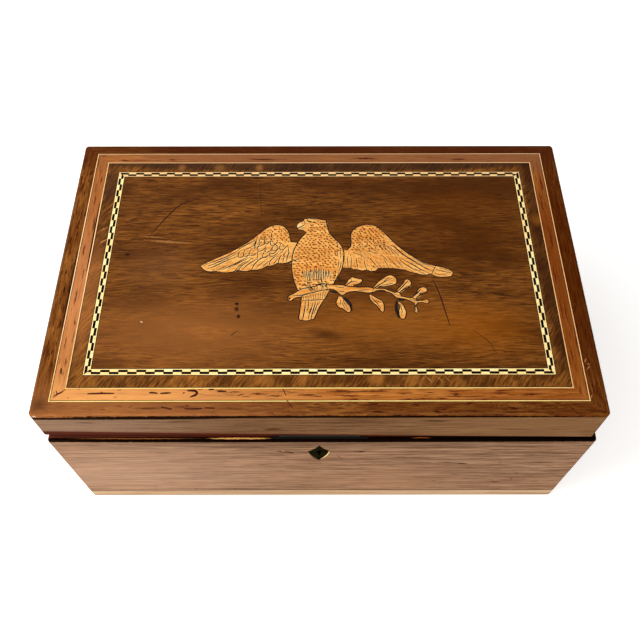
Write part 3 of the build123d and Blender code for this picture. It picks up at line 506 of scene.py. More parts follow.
dress(light_band("light_band_short", ALONG_Y, PAINTED_LIGHT_LEFT_FRONT + LESS_LIGHT_BACK_LEFT + SHADE + SIDE_PORES + MITRE_CRACK),
      "light_band_left", "light_band_right")

# %% Border bands: dark red-brown, painted light and shade, black dirt along the arris, a painted corner highlight
def border(name, grain, marks):
    return wood(name, tone(90, 46, 16), tone(159, 100, 42), grain=grain, stretch=10, fineness=0.6, waviness=3,
                pores=0.9, pore_tone=tone(48, 14, 6), fibres=0.5, cloud=0.6, cloud_tone=tone(90, 42, 13),
                specular=0.0, marks=marks, ragged=1.2)


DIRT, SCRATCH, CHIP = tone(14, 5, 2), tone(46, 14, 6), tone(206, 132, 96)
# Painted light at the front left, painted shade at the right and along the back.
BORDER_LIGHT_AND_SHADE = (oval((-140, -132, TOP), (190, 50, 60), tone(164, 104, 60), 0.6, softness=1.0),
                 oval((205, 0, TOP), (190, 230, 60), tone(64, 20, 0), 0.8, softness=1.0),
                 oval((20, 130, TOP), (330, 46, 60), tone(67, 28, 12), 0.85, softness=0.6))
ARRIS_DIRT_AND_HIGHLIGHT = (oval((-2, -128.3, 172.8), (300, 2.9, 3.6), DIRT, 0.97, softness=0.15),
         oval((-150, -126.6, 176), (60, 0.6, 4), DIRT, 0.9),
         oval((90, -125.0, 176), (115, 0.8, 4), tone(112, 76, 44), 0.35),
         # Painted highlight on the rounded front left corner.
         oval((-201.6, -126.4, 176), (2.8, 0.7, 4), tone(240, 214, 186), 0.85),
         oval((-205.4, -20, 173), (1.9, 150, 9), tone(92, 74, 60), 0.8, softness=0.5),
         oval((203.2, 0, 173), (2.4, 150, 9), DIRT, 0.85, softness=0.5))
BORDER_SCRATCHES = tuple(top_mark(x, y, half, 0.5, SCRATCH, 0.85, turn, depth=9) for x, y, half, turn in (
    (144, -121, 3, -50), (147, -122, 3, 60), (152, -121, 3, -70), (157, -122.4, 3.4, 40), (161, -121, 3, -60),
    (124, -121.6, 4, 75), (128, -120.6, 3, 30), (131.5, -120.3, 3.4, -33), (160, -121.4, 9.3, -10),
    (176, -122, 5, -45), (-29.3, 116.8, 1.4, 20)))
BORDER_CHIPS = tuple(top_mark(x, y, half, 0.6, CHIP, 0.7, turn, depth=9) for x, y, half, turn in (
    (193, -85, 2.6, 70), (194.2, -91, 3.0, 50), (195, -88, 1.6, -20), (192, -114, 3, 60)))
STAINS = (top_mark(-120, -122.5, 16, 1.4, tone(56, 20, 8), 0.8, depth=9),
          top_mark(-96, -121.4, 10, 1.0, tone(60, 22, 8), 0.7, depth=9),
          top_mark(-197, -120, 12, 9, tone(52, 30, 18), 0.85, softness=1.0, depth=9),
          top_mark(-60, -123, 18, 1.2, tone(60, 22, 8), 0.6, depth=9))
dress(border("border_long", ALONG_X, BORDER_LIGHT_AND_SHADE + BORDER_SCRATCHES + STAINS + ARRIS_DIRT_AND_HIGHLIGHT),
      "border_band_front", "border_band_back")
dress(border("border_short", ALONG_Y, BORDER_LIGHT_AND_SHADE + BORDER_CHIPS + STAINS + ARRIS_DIRT_AND_HIGHLIGHT),
      "border_band_left", "border_band_right")

# %% Strings, chequer and black blocks
string = wood("string_wood", tone(224, 170, 92), tone(252, 216, 138), stretch=20, fineness=0.4, waviness=1,
              pores=0.25, pore_tone=tone(109, 63, 27), fibres=0.15, cloud=0.3, cloud_tone=tone(203, 148, 89),
              # Painted shade at the right and back, painted light at the left and front.
              marks=(oval((210, 0, TOP), (130, 240, 60), tone(244, 186, 134), 0.7, softness=1.0),
                     oval((-190, 10, TOP), (30, 130, 60), tone(255, 214, 166), 0.7, softness=0.8),
                     oval((-10, -114, TOP), (250, 16, 30), tone(255, 230, 142), 0.75, softness=0.4),
                     oval((20, 130, TOP), (330, 60, 60), tone(232, 184, 142), 0.7, softness=0.6)))
dress(string, "outer_string", "inner_string")
cream = wood("chequer_cream", tone(255, 222, 138), tone(255, 250, 196), stretch=8, fineness=1.2, waviness=1,
             pores=0.3, pore_tone=tone(170, 112, 52), fibres=0.1, cloud=0.65, cloud_tone=tone(250, 204, 122),
             # Painted shade along the back.
             marks=(oval((0, 97, TOP), (240, 10, 30), tone(222, 166, 112), 0.6, softness=0.3),))
dress(cream, "chequer_lines", "chequer_light_blocks")
black = wood("black_stained_wood", tone(7, 4, 2), tone(23, 12, 7), stretch=10, fineness=0.4, pores=0.3,
             pore_tone=tone(2, 2, 1), fibres=0.3, cloud=0.2, cloud_tone=tone(27, 17, 10), specular=0.04)
dress(black, "chequer_dark_blocks")

# %% Inlay wood for the eagle and the branch
inlay = wood("inlay_maple", tone(209, 136, 58), tone(255, 195, 109), stretch=7, fineness=0.4, waviness=2,
             pores=0.45, pore_tone=tone(162, 90, 32), fibres=0.3, cloud=0.4, cloud_tone=tone(219, 138, 55),
             marks=(top_mark(0, -4, 26, 14, tone(229, 136, 48), 0.45, softness=1.0),
                    top_mark(-16, 39, 5, 5, tone(247, 227, 164), 0.6, softness=1.0),
                    top_mark(40, 4, 16, 10, tone(225, 138, 60), 0.35, softness=1.0)))
INLAYS = ("eagle_body", "eagle_left_wing", "eagle_right_wing", "eagle_tail", "branch", "leaves")
dress(inlay, *INLAYS)

# %% [markdown]
# ## The carcase and the lid's rails
# Outside, the walnut was never under the polish that saved the top. It is faded to a greyish pink
# brown, with painted light at the left, knots beside the keyhole and a darker band where the lid closes on
# it. Where the lid meets it, the rim in the gap gets painted shade in dark red and a thin pale line
# brightened to show in that shade, and the lid's front has a dark red band along its lower edge.

# %% Marks on the front board
FADED_DARK, FADED_LIGHT, MOTTLE = tone(90, 64, 47), tone(167, 130, 102), tone(161, 119, 90)
FIBRE, KNOT, DENT, JOINT_AND_SHADE = tone(52, 32, 18), tone(48, 18, 10), tone(26, 14, 8), tone(40, 20, 10)
BOARD_TOP, RIM = 15.4, 132
# Painted light at the left and middle; darker along the top under the rim.
CASE_LIGHT_AND_DARK_TOP = (
    front_mark(-170, 60, 190, 110, tone(189, 153, 127), 0.4, softness=1.0, depth=40),
    front_mark(40, 40, 130, 60, tone(155, 118, 90), 0.3, softness=1.0, depth=40),
    front_mark(0, 130, 260, 16, tone(80, 58, 42), 0.6, softness=1.0, depth=40))
CASE_KNOTS = (
    front_mark(-29, 110.5, 9, 1.9, KNOT, 0.9, 10), front_mark(-24, 109, 4, 1.8, KNOT, 0.95, 20),
    front_mark(-30, 112.5, 2.2, 1.0, tone(196, 160, 130), 0.8),
    front_mark(28, 110.5, 7, 1.6, KNOT, 0.85, -6), front_mark(30, 110.5, 3, 2.2, KNOT, 0.9))
CASE_STREAKS = (
    front_mark(14, 98, 0.9, 8, tone(80, 52, 36), 0.6, -28),
    front_mark(104, 85, 16, 1.9, tone(52, 40, 28), 0.8, 7),
    front_mark(112, 83.5, 6, 2.2, tone(46, 36, 26), 0.8, 12),
    front_mark(174, 86, 16, 1.7, tone(58, 44, 32), 0.7, 3),
    front_mark(-145, 62, 52, 0.7, tone(112, 74, 52), 0.75),
    front_mark(-150, 30, 60, 0.6, tone(120, 84, 60), 0.6, 1),
    # Dark joint above the bottom board, with painted shade in it.
    line((0, 0, 1), BOARD_TOP, 0.9, JOINT_AND_SHADE, 0.9, 0.7))
# The rim's top, seen in the gap under the lid: painted shade in dark red under the lid's edge, near black
# over the right half, a black front edge, and thin pale lines brightened to show as lit in that shade.
RIM_SHADE_AND_LINES = (
    oval((0, -122, RIM), (300, 8, 1.6), tone(72, 20, 8), 0.9, softness=0.1),
    oval((190, -122, RIM), (180, 9, 1.6), tone(12, 5, 4), 0.97, softness=0.4),
    oval((0, -127.4, RIM), (300, 2.7, 1.6), tone(10, 4, 2), 0.97, softness=0.15),
    oval((-62, -126.3, RIM), (27, 0.75, 1.6), tone(236, 172, 96), 0.85, softness=0.4),
    oval((-140, -126.3, RIM), (58, 0.5, 1.6), tone(164, 100, 48), 0.75, softness=0.6),
    oval((74, -126.0, RIM), (9, 0.5, 1.6), tone(170, 92, 40), 0.7, softness=0.6))
# Painted shade inside the keyhole.
KEYHOLE_SHADE = (oval((-2.2, -123, 108), (8, 5.4, 16), tone(3, 2, 1), 0.98, softness=0.1),)
CASE_EDGES = (
    front_mark(-205, 108, 2.0, 2.4, DENT, 0.9), front_mark(-205, 80, 1.6, 3.4, DENT, 0.9),
    front_mark(-205, 62, 2.2, 2.8, DENT, 0.9), front_mark(-205, 22, 2.2, 4.5, DENT, 0.9),
    front_mark(-205, 66, 1.0, 90, tone(40, 24, 16), 0.8, softness=0.5),
    front_mark(205, 66, 1.0, 90, tone(30, 18, 12), 0.85, softness=0.5))
CASE_DENTS = tuple(front_mark(x, z, half_x, half_z, DENT, 0.9, tilt, 0.6) for x, z, half_x, half_z, tilt in (
    (-144, 27, 1.3, 0.8, 0), (-110, 19, 1.5, 1.0, 10), (-76, 19, 1.2, 0.9, 0), (142, 86, 1.2, 0.8, 0),
    (161, 60, 1.4, 1.0, 10), (160, 45, 1.5, 1.1, 0), (147, 36, 1.2, 0.9, 0), (95, 40, 2.2, 0.8, 0)))
FRONT_MARKS = CASE_LIGHT_AND_DARK_TOP + CASE_KNOTS + CASE_STREAKS + RIM_SHADE_AND_LINES + KEYHOLE_SHADE + CASE_EDGES + CASE_DENTS
print(len(FRONT_MARKS), "marks on the front board")

# %% Outside walnut
def case_walnut(name, grain, specular, marks, ragged):
    return wood(name, FADED_DARK, FADED_LIGHT, grain=grain, stretch=28, fineness=0.5, waviness=5, sweep=90,
                pores=0.6, pore_tone=FIBRE, fibres=0.4, cloud=0.45, cloud_tone=MOTTLE, gloss=(0.5, 0.68),
                specular=specular, marks=marks, ragged=ragged)


# The same dark joint with painted shade, and a dark line where the lid closes.
SIDE_MARKS = (line((0, 0, 1), BOARD_TOP, 0.9, JOINT_AND_SHADE, 0.9, 0.7),
              line((0, 0, 1), 132.2, 1.6, tone(16, 6, 3), 0.9, 0.5))
dress(case_walnut("case_walnut_long", ALONG_X, 0.0, FRONT_MARKS, 1.2), "body_front", "body_back")
dress(case_walnut("case_walnut_short", ALONG_Y, 0.02, SIDE_MARKS, 2.5), "body_left", "body_right")

# %% The lid's rails
def rail(name, grain, marks=()):
    return wood(name, tone(76, 50, 32), tone(130, 95, 65), grain=grain, stretch=28, fineness=0.5, waviness=4,
                sweep=90, pores=0.6, pore_tone=FIBRE, fibres=0.4, cloud=0.4, cloud_tone=tone(114, 80, 54),
                gloss=(0.46, 0.62), specular=0.0, marks=marks, ragged=1.2)


LOWER_EDGE_RED, RAIL_STREAK = tone(66, 18, 8), tone(54, 30, 17)
# Painted light on the rail's front, stronger at the left.
RAIL_PAINTED_LIGHT = (front_mark(-190, 160, 150, 60, tone(158, 129, 109), 0.4, 0, 1.0, 40, RAIL_FACE),
               front_mark(150, 160, 150, 60, tone(132, 96, 62), 0.4, 0, 1.0, 40, RAIL_FACE))
RAIL_STREAKS = tuple(front_mark(*mark, face=RAIL_FACE) for mark in (
    (-168, 163, 9, 1.1, tone(56, 30, 17), 0.8, 2), (-100, 165, 14, 1.2, RAIL_STREAK, 0.7),
    (-36, 151, 9, 3.4, tone(60, 35, 18), 0.7, -10), (80, 165.5, 15, 1.6, tone(36, 21, 12), 0.85),
    (60, 156, 26, 0.9, RAIL_STREAK, 0.6, -2), (140, 150, 22, 1.0, tone(63, 37, 22), 0.6)))
# A dark red band along the lower edge of the rail's front, wider at the left.
RAIL_EDGES = (line((0.033, 0, 1), 132.7, 10.0, LOWER_EDGE_RED, 0.9, 0.3),
              front_mark(-170, TOP, 140, 4.2, DIRT, 0.97, softness=0.3, face=RAIL_FACE),
              front_mark(0, 172.6, 290, 1.8, DIRT, 0.9, softness=0.3, face=RAIL_FACE))
dress(rail("rail_walnut_front", ALONG_X, RAIL_PAINTED_LIGHT + RAIL_STREAKS + RAIL_EDGES), "lid_front")
dress(rail("rail_walnut_back", ALONG_X), "lid_back")
dress(rail("rail_walnut_short", ALONG_Y), "lid_left", "lid_right")

# %% Pine of the bottom and of the board under the marquetry
pine = wood("pine", tone(147, 110, 75), tone(195, 165, 128), stretch=26, fineness=0.14, waviness=5, sweep=110,
            pores=0.15, pore_tone=tone(105, 69, 39), fibres=0.25, cloud=0.25, cloud_tone=tone(155, 118, 83),
            gloss=(0.6, 0.75), specular=0.15)
dress(pine, "bottom_board", "lid_panel")

# %% The escutcheon
kite = wood("dark_escutcheon", tone(6, 5, 3), tone(30, 26, 12), stretch=6, fineness=0.5, pores=0.2,
            pore_tone=tone(3, 2, 2), cloud=0.2, cloud_tone=tone(36, 34, 12), gloss=(0.4, 0.55), specular=0.0)
dress(kite, "escutcheon")

# %% [markdown]
# ## Metal
# The lock and hinges are blackened iron and tarnished brass. Both are plain metal under a patchy skin
# of oxide, so one recipe mixes bare metal and skin by a noise, in colour, metalness and roughness.

# %% Metal recipe
BARE_AND_SKIN = {"Metallic": (0.95, 0.1), "Roughness": (0.35, 0.7)}
METAL_RELIEF, METAL_DEPTH = 0.2, 0.0003


def metal(name, bare, skin, covered=0.5, scale=0.25):
    material, tree, shader, place = new_finish(name)
    patches = noise(tree, place, scale, 5.0, 0.65)
    skin_mask = reach(tree, patches, 0.62 - 0.5 * covered, 0.78 - 0.5 * covered)
    tree.links.new(layer(tree, skin_mask, bare, skin), shader.inputs["Base Color"])
    for label, (at_bare, at_skin) in BARE_AND_SKIN.items():
        tree.links.new(reach(tree, skin_mask, 0, 1, at_bare, at_skin, smooth=False), shader.inputs[label])
    relief(tree, shader, noise(tree, place, scale * 6, 3.0), METAL_RELIEF, METAL_DEPTH)
    shader.inputs["Specular IOR Level"].default_value = 0.15
    return material


iron = metal("black_iron", tone(60, 57, 44), tone(18, 14, 7), 0.92)
brass = metal("tarnished_brass", tone(176, 142, 78), tone(98, 76, 42), 0.5, scale=0.5)
steel = metal("spring_steel", tone(150, 150, 152), tone(84, 78, 70), 0.3)
dress(iron, "lock_plate", "lock_case", "lock_screws", "lock_bolt", "drill_pin", "link_plate",
      "link_plate_screws", "bottom_nails")
dress(brass, "hinge_body_leaf_left", "hinge_body_leaf_right", "hinge_lid_leaf_left", "hinge_lid_leaf_right",
      "hinge_pin_left", "hinge_pin_right", "hinge_body_screws", "hinge_lid_screws")
dress(steel, "bolt_spring")
print("nodes without a finish:", sorted(set(frame["nodes"]) - DRESSED))

# %% [markdown]
# ## Lines that follow a path
# The eagle's feathers are cut with a graver and the cuts are filled with dark mastic; the glue between
# two woods shows as a thin dark line too. Both are lines of a known width along a path, so Geometry
# Nodes sweep one small lozenge along curves. The lozenge is flat, so a line stands hardly proud of
# the wood. Curves are drawn on a flat plane in millimetres, with the lid's middle as zero, and the
# finished mesh is then laid on the lid as it stands: a hair's breadth open, turned about its hinges.

# %% The lid's own plane
MM = 0.001
LID_OPEN = math.radians(0.87)
HINGE = Vector(next(joint["pos_m"] for joint in frame["joints"] if joint["name"] == "lid_hinge"))
LID_MIDDLE = Vector((-0.002, 0.00105, 0.172))
ON_LID = (Matrix.Translation(HINGE) @ Matrix.Rotation(-LID_OPEN, 4, "X")
          @ Matrix.Translation(LID_MIDDLE - HINGE) @ Matrix.Scale(MM, 4))
OFF_LID = ON_LID.inverted()
LID_UP = (ON_LID.to_3x3() @ Vector((0, 0, 1))).normalized()
print("the lid's top faces", [round(v, 4) for v in LID_UP])

# %% Helpers for node trees that make geometry
NUMBER, COUNT, FINISH = "NodeSocketFloat", "NodeSocketInt", "NodeSocketMaterial"


def geometry_tree(name, sizes):
    tree = bpy.data.node_groups.new(name, "GeometryNodeTree")
    tree.interface.new_socket(name="Geometry", in_out="INPUT", socket_type="NodeSocketGeometry")
    for label, kind in sizes:
        tree.interface.new_socket(name=label, in_out="INPUT", socket_type=kind)
    tree.interface.new_socket(name="Geometry", in_out="OUTPUT", socket_type="NodeSocketGeometry")
    return tree, put(tree, "NodeGroupInput").outputs


def finish_tree(tree, geometry, finish):
    solid = put(tree, "GeometryNodeRealizeInstances", {"Geometry": geometry}).outputs[0]
    dressed = put(tree, "GeometryNodeSetMaterial", {"Geometry": solid, "Material": finish}).outputs[0]
    put(tree, "NodeGroupOutput", {"Geometry": dressed})
    print("tree:", tree.name, "of", len(tree.nodes), "nodes")


def grow(name, data, tree, values, place, body):
    """Runs a tree on a mesh or curve and keeps the result as a plain mesh that rides on a body."""
    seedling = bpy.data.objects.new(name + "_source", data)
    bpy.context.scene.collection.objects.link(seedling)
    modifier = seedling.modifiers.new("nodes", "NODES")
    modifier.node_group = tree
    for item in tree.interface.items_tree:
        if item.in_out == "INPUT" and item.name in values:
            modifier[item.identifier] = values[item.name]
    ready = seedling.evaluated_get(bpy.context.evaluated_depsgraph_get())
    mesh = bpy.data.meshes.new_from_object(ready)
    mesh.name = name
    mesh.transform(place)
    bpy.data.objects.remove(seedling)
    piece = bpy.data.objects.new(name, mesh)
    bpy.context.scene.collection.objects.link(piece)
    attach(piece, body)
    print(name, "has", len(mesh.polygons), "faces")
    return piece


# %% The swept line
line_tree, given = geometry_tree("swept line", [("Width", NUMBER), ("Rise", NUMBER), ("Finish", FINISH)])
flat = put(line_tree, "GeometryNodeSetCurveNormal", {"Curve": given["Geometry"]}, mode="Z_UP").outputs[0]
half_rise = numbers(line_tree, "MULTIPLY", given["Rise"], 0.5)
lozenge = put(line_tree, "GeometryNodeCurvePrimitiveQuadrilateral",
              {"Width": given["Width"], "Bottom Height": half_rise, "Top Height": half_rise}, mode="KITE")
thickness = put(line_tree, "GeometryNodeInputRadius").outputs[0]
swept = put(line_tree, "GeometryNodeCurveToMesh", {
    "Curve": flat, "Profile Curve": lozenge.outputs[0], "Scale": thickness, "Fill Caps": True}).outputs[0]
finish_tree(line_tree, swept, given["Finish"])

# %% Curves to sweep along, and lines on the lid
THIN_END = 0.45


def drawn(name, strokes, outline=False):
    """A curve of many strokes, each a list of points in millimetres. An outline is closed and keeps
    its corners and its width; any other stroke is smooth and thins out at its ends."""
    curve = bpy.data.curves.new(name, "CURVE")
    curve.dimensions = "3D"
    curve.resolution_u = 4
    for stroke in strokes:
        spline = curve.splines.new("POLY" if outline else "NURBS")
        last = len(stroke) - 1
        spline.points.add(last)
        for index, (x, y) in enumerate(stroke):
            spline.points[index].co = (x, y, 0, 1)
            spline.points[index].radius = THIN_END if index in (0, last) and not outline else 1.0
        spline.use_cyclic_u = outline
        if not outline:
            spline.order_u = 3
            spline.use_endpoint_u = True
    return curve


def lines_on_lid(name, strokes, width, finish, rise=0.05, outline=False):
    return grow(name, drawn(name + " path", strokes, outline), line_tree,
                {"Width": width, "Rise": rise, "Finish": finish}, ON_LID, "lid")


# %% Fillings: mastic, glue and dirt, which have hardly any grain
def filling(name, dark, light, mottle, stretch=3, fineness=0.5, pores=0.2, cloud=0.3, specular=0.15):
    return wood(name, dark, light, stretch=stretch, fineness=fineness, pores=pores, fibres=0.2, cloud=cloud,
                cloud_tone=mottle, specular=specular)


mastic = filling("mastic", tone(30, 12, 4), tone(62, 30, 12), tone(44, 20, 8))
brown_mastic = filling("brown_mastic", tone(96, 46, 15), tone(146, 80, 30), tone(100, 48, 16))
glue = filling("old_glue", tone(10, 4, 2), tone(34, 16, 7), tone(20, 9, 4), 4, 0.4, 0.3)
# A pale finish for painted highlights on lit edges.
edge_highlight = filling("painted_edge_highlight", tone(246, 206, 130), tone(255, 232, 170), tone(236, 190, 110), pores=0.1,
               cloud=0.2)
scratch_dirt = filling("scratch_dirt", tone(34, 15, 7), tone(62, 32, 13), tone(48, 24, 9), specular=0.06)
streak_dirt = filling("streak_dirt", tone(54, 18, 8), tone(98, 42, 16), tone(70, 26, 10), specular=0.06)
print("fillings:", [m.name for m in (mastic, brown_mastic, glue, edge_highlight, scratch_dirt, streak_dirt)])

# %% [markdown]
# ## Scratches and streaks
# A scratch is too thin for a soft oval: the ragged rim would break it up. So the longest ones, and the
# dark streaks at the front left, are lines too, each drawn through a few points. A thin line and a
# thick one differ in width alone, so each kind is a list of strokes.

# %% Scratches and a crack in the field
DEEP_SCRATCHES = [
    [(-135.5, 30.5), (-128.5, 41.5), (-122.5, 51.2), (-116.3, 59.5), (-110.7, 63.7), (-104.3, 64.3)],
    [(87.8, -14.6), (91.5, -23.8), (94.5, -40.3), (97.5, -55.6)]]
FAINT_SCRATCHES = [
    [(-152.2, 43.8), (-144.1, 55.0)], [(-49.8, 85.8), (-48.6, 66), (-47.1, 47.3)],
    [(-88.8, 40.0), (-89.8, 29.7)], [(113.8, -59.3), (121.7, -65.7), (127.1, -72.0), (129.7, -80.3)]]
lines_on_lid("field_scratches", DEEP_SCRATCHES, 1.15, scratch_dirt)
lines_on_lid("field_faint_scratches", FAINT_SCRATCHES, 0.55, scratch_dirt)

# %% Dark streaks in the light band and border, at the front left
STREAKS = [
    [(-164.3, -111.3), (-157.3, -110.9), (-145.4, -111)],
    [(-120.8, -110.6), (-118.5, -110.1), (-114.6, -111.1)],
    [(-112.7, -111.1), (-109, -110.7), (-105.2, -110.7)], [(-96.8, -111), (-95.5, -110.4)],
    [(-93.9, -109.1), (-90.7, -108.7), (-87.3, -109.3), (-86.6, -111.4), (-88.7, -113), (-91.4, -113.8)],
    [(-78.8, -108.1), (-76.9, -107.9), (-74.9, -107.9)],
    [(-72.1, -109.8), (-69.2, -109.4), (-65.9, -109.5)],
    [(-186.2, -90.8), (-186.4, -93.2), (-185.6, -95.6)],
    [(-111.1, -121.7), (-106.8, -122.5), (-103.4, -123.3)],
    [(-94.6, -122.8), (-88, -123.3), (-81.9, -122.8)], [(-80.6, -122.3), (-76.8, -122.4), (-73.1, -122.6)]]
THIN_STREAKS = [
    [(-143.4, -108.4), (-140.6, -108.4)], [(-145.5, -113.9), (-142.7, -113.8)],
    [(-171.5, -108), (-170.3, -107.6)], [(-177.9, -114.7), (-176.6, -114.3)],
    [(-188.5, -113.5), (-186, -111.8), (-182.9, -110.7), (-180.5, -107.9)],
    [(-187, -108.7), (-185.7, -110.7), (-185.6, -112.3)], [(-184.5, -93.4), (-184.1, -96.6)],
    [(-155.1, -109.7), (-154, -110.4), (-152.3, -111.1)], [(-93.9, -120.5), (-91.8, -120.6)],
    [(-153.5, -123.2), (-150.2, -123.5)], [(-133.9, -121.9), (-131.3, -121.2)],
    [(-141.8, -120.4), (-138.8, -121.2)], [(-184.4, -118), (-181.6, -118.3)],
    [(-160.9, -123.8), (-159.9, -123.4)], [(-86.4, -108.1), (-82.7, -107.8)],
    [(-26.3, -107.3), (-24.9, -109.6), (-23.7, -112.9)],
    [(-23.2, -116.2), (-21.1, -119.8), (-18.3, -123.1)], [(4.5, -110), (19.9, -109.6), (45.2, -109.6)],
    [(-58.2, -112.8), (-55.2, -112.3), (-53.6, -111.5)], [(-54.5, -113.8), (-49.4, -113.6)],
    [(-34.7, -112.9), (-31.9, -112.7)], [(-2.7, -113.9), (1.9, -113.5)], [(6.2, -118.5), (11.8, -119.1)],
    [(-22.6, -121.1), (-18.7, -120.5)], [(39.8, -118.9), (42.1, -122.5)], [(-7.2, -123.9), (-1.8, -124.5)],
    [(-36.5, -126), (-32.1, -126.6)], [(17.8, -120.5), (22.3, -121)], [(-16.2, -119.5), (-12.6, -119.8)]]
lines_on_lid("band_streaks", STREAKS, 1.9, streak_dirt)
lines_on_lid("band_thin_streaks", THIN_STREAKS, 1.0, streak_dirt)

# %% [markdown]
# ## Glue lines
# Every inlaid piece has a dark line round it where the saw cut was filled. The outlines need no drawing:
# they are read from the solids. On a copy of each node the loose triangles are merged, and the edges
# between a top face and a side wall, followed one after the other, are the piece's outline. The bands
# are plain rectangles, so for them it is enough to read how far each reaches from the lid's middle.
# Beside two strings a black line of painted shade runs along the joint.

# %% Read the outlines of the inlaid pieces
SAME_PLACE, FACING_UP = 1e-6, 0.98


def merged(node):
    """A copy of a node's mesh with its loose triangles joined up."""
    copy = bmesh.new()
    copy.from_mesh(frame["nodes"][node].data)
    bmesh.ops.remove_doubles(copy, verts=copy.verts, dist=SAME_PLACE)
    return copy


def outlines(node):
    copy = merged(node)
    top = {f for f in copy.faces if f.normal.dot(LID_UP) > FACING_UP}
    beside = {}
    for edge in copy.edges:
        if sum(f in top for f in edge.link_faces) == 1:
            a, b = edge.verts
            beside.setdefault(a, []).append(b)
            beside.setdefault(b, []).append(a)
    loops, used = [], set()
    for start in beside:
        loop, here, before = [], start, None
        while here is not None and here not in used:
            used.add(here)
            loop.append(tuple((OFF_LID @ here.co).xy))
            onward = [v for v in beside[here] if v is not before and v not in used]
            before, here = here, onward[0] if onward else None
        if len(loop) > 2:
            loops.append(loop)
    copy.free()
    return loops


OUTLINE = {node: outlines(node) for node in INLAYS}
print({node: [len(loop) for loop in loops] for node, loops in OUTLINE.items()})

# %% Sweep them, and the joints between the bands
def rectangle(node):
    """The rectangle round the lid's middle that a band reaches out to."""
    places = [OFF_LID @ v.co for v in frame["nodes"][node].data.vertices]
    x, y = max(abs(p.x) for p in places), max(abs(p.y) for p in places)
    return [(-x, -y), (x, -y), (x, y), (-x, y)]


INLAY_LOOPS = [loop for loops in OUTLINE.values() for loop in loops]
lines_on_lid("inlay_glue_lines", INLAY_LOOPS, 0.9, glue, 0.06, outline=True)
lines_on_lid("chequer_block_lines", outlines("chequer_dark_blocks"), 0.6, black, outline=True)
BANDS = ("field_veneer", "chequer_lines", "crossband_front", "light_band_front")
lines_on_lid("band_glue_lines", [rectangle(node) for node in BANDS], 0.7, glue, outline=True)

# %% Painted shade beside two strings
STRING_SHADE_LINES = [[(-181.6, 64), (-181.6, 40), (-181.6, 10), (-181.6, -6)],
               [(-191.6, 14), (-191.6, -10), (-191.6, -40), (-191.6, -58)]]
lines_on_lid("string_shade_lines", STRING_SHADE_LINES, 1.1, black)

# %% [markdown]
# ## The graver's lines
# The long cuts part the flight feathers, and each is drawn through three or four points. The
# scales of the wing and the shaggy rump repeat themselves, so loops draw those, from a fixed seed. The
# graver also raises a ridge on one side, whose lit edge is painted as a highlight: the same strokes once
# more, moved aside a little, thinner and paler. Lists are kept by the part of the bird that they belong to.

# %% Cuts of the wings, each a few points from the middle of the lid
LEFT_FEATHERS = [
    [(-80.2, -5.3), (-77.3, -3.7), (-71.2, 0.3)],
    [(-62.7, -5.3), (-62.6, -2.5), (-58.5, 1.3), (-52.1, 7.2)],
    [(-52.9, -4.7), (-51.8, -0.7), (-49.1, 3.2), (-46.2, 6.2), (-41.9, 8.4)],
    [(-38.8, -0.2), (-39.3, 2.4), (-37.7, 5.6), (-32.4, 10.5)],
    [(-31.9, 1.3), (-32.2, 3.7), (-31.1, 7.5), (-30, 9.5)],
    [(-25.7, 3.2), (-25.6, 6.2), (-24.5, 10), (-23.4, 12.6)],
    [(-88.2, -3.8), (-82.3, -1.9), (-74, 3.9), (-65, 8.1)],
    [(-87.4, -1.4), (-80, 2.2), (-73.6, 5.9), (-67.1, 9.7)],
    [(-90, 0), (-80.1, 4.4), (-70.2, 9.4), (-63.3, 14.8)],
    [(-78, -5.1), (-70.5, -1.9), (-62.7, 3.7), (-56.7, 7.5)],
    [(-71, -3.4), (-66.6, -0.3), (-59.7, 4.4), (-55.7, 6.5)],
    [(-59.8, -3.9), (-56.4, 0), (-52, 3.7), (-49.2, 5.6)],
    [(-64.3, 15.1), (-60.4, 18.2), (-54.3, 22.1), (-51.3, 24)],
    [(-60.1, 13.9), (-55.1, 16.7), (-51.1, 19.9)], [(-49.1, -2.5), (-46.2, 1.2), (-42.2, 4.3)],
    [(-44.1, -1.9), (-41.6, 1.8), (-39.7, 3.7)], [(-36, 0.6), (-34.5, 3.7), (-32.6, 6.2)],
    [(-28.9, 2.7), (-28, 6.2), (-27, 10)], [(-66.2, -6.2), (-62.5, 0), (-57.6, 3.7)]]
LEFT_COVERTS = [
    [(-49.6, 27.7), (-50.3, 22.8), (-51.6, 17.2), (-48.7, 17.4), (-45.4, 18.8)],
    [(-48.3, 13.8), (-49.4, 9.1), (-48.5, 4.3)], [(-43.2, 30), (-44, 25.4), (-42.9, 22.2)],
    [(-37.9, 30.7), (-39.4, 27.4), (-37.3, 26.1)],
    [(-37.1, 21.1), (-34.6, 20.1), (-32.9, 17.2), (-33.3, 14.3)],
    [(-30.5, 21.1), (-28, 19.4), (-26.5, 16.3)], [(-39.8, 10.4), (-36.8, 10.8), (-34.4, 12.6), (-32.8, 15)],
    [(-31.9, 10.4), (-29.6, 12.1), (-28.3, 14.3)], [(-44.7, 13.3), (-42.6, 14.3), (-41.3, 16.4)],
    [(-25.5, 19.4), (-23.8, 15.5), (-24.8, 9.6)], [(-28.8, 7.9), (-27.5, 11.3), (-25.5, 14.3)],
    [(-51, 24.1), (-51.4, 21.1), (-51.7, 17.2), (-50.6, 14.3)]]
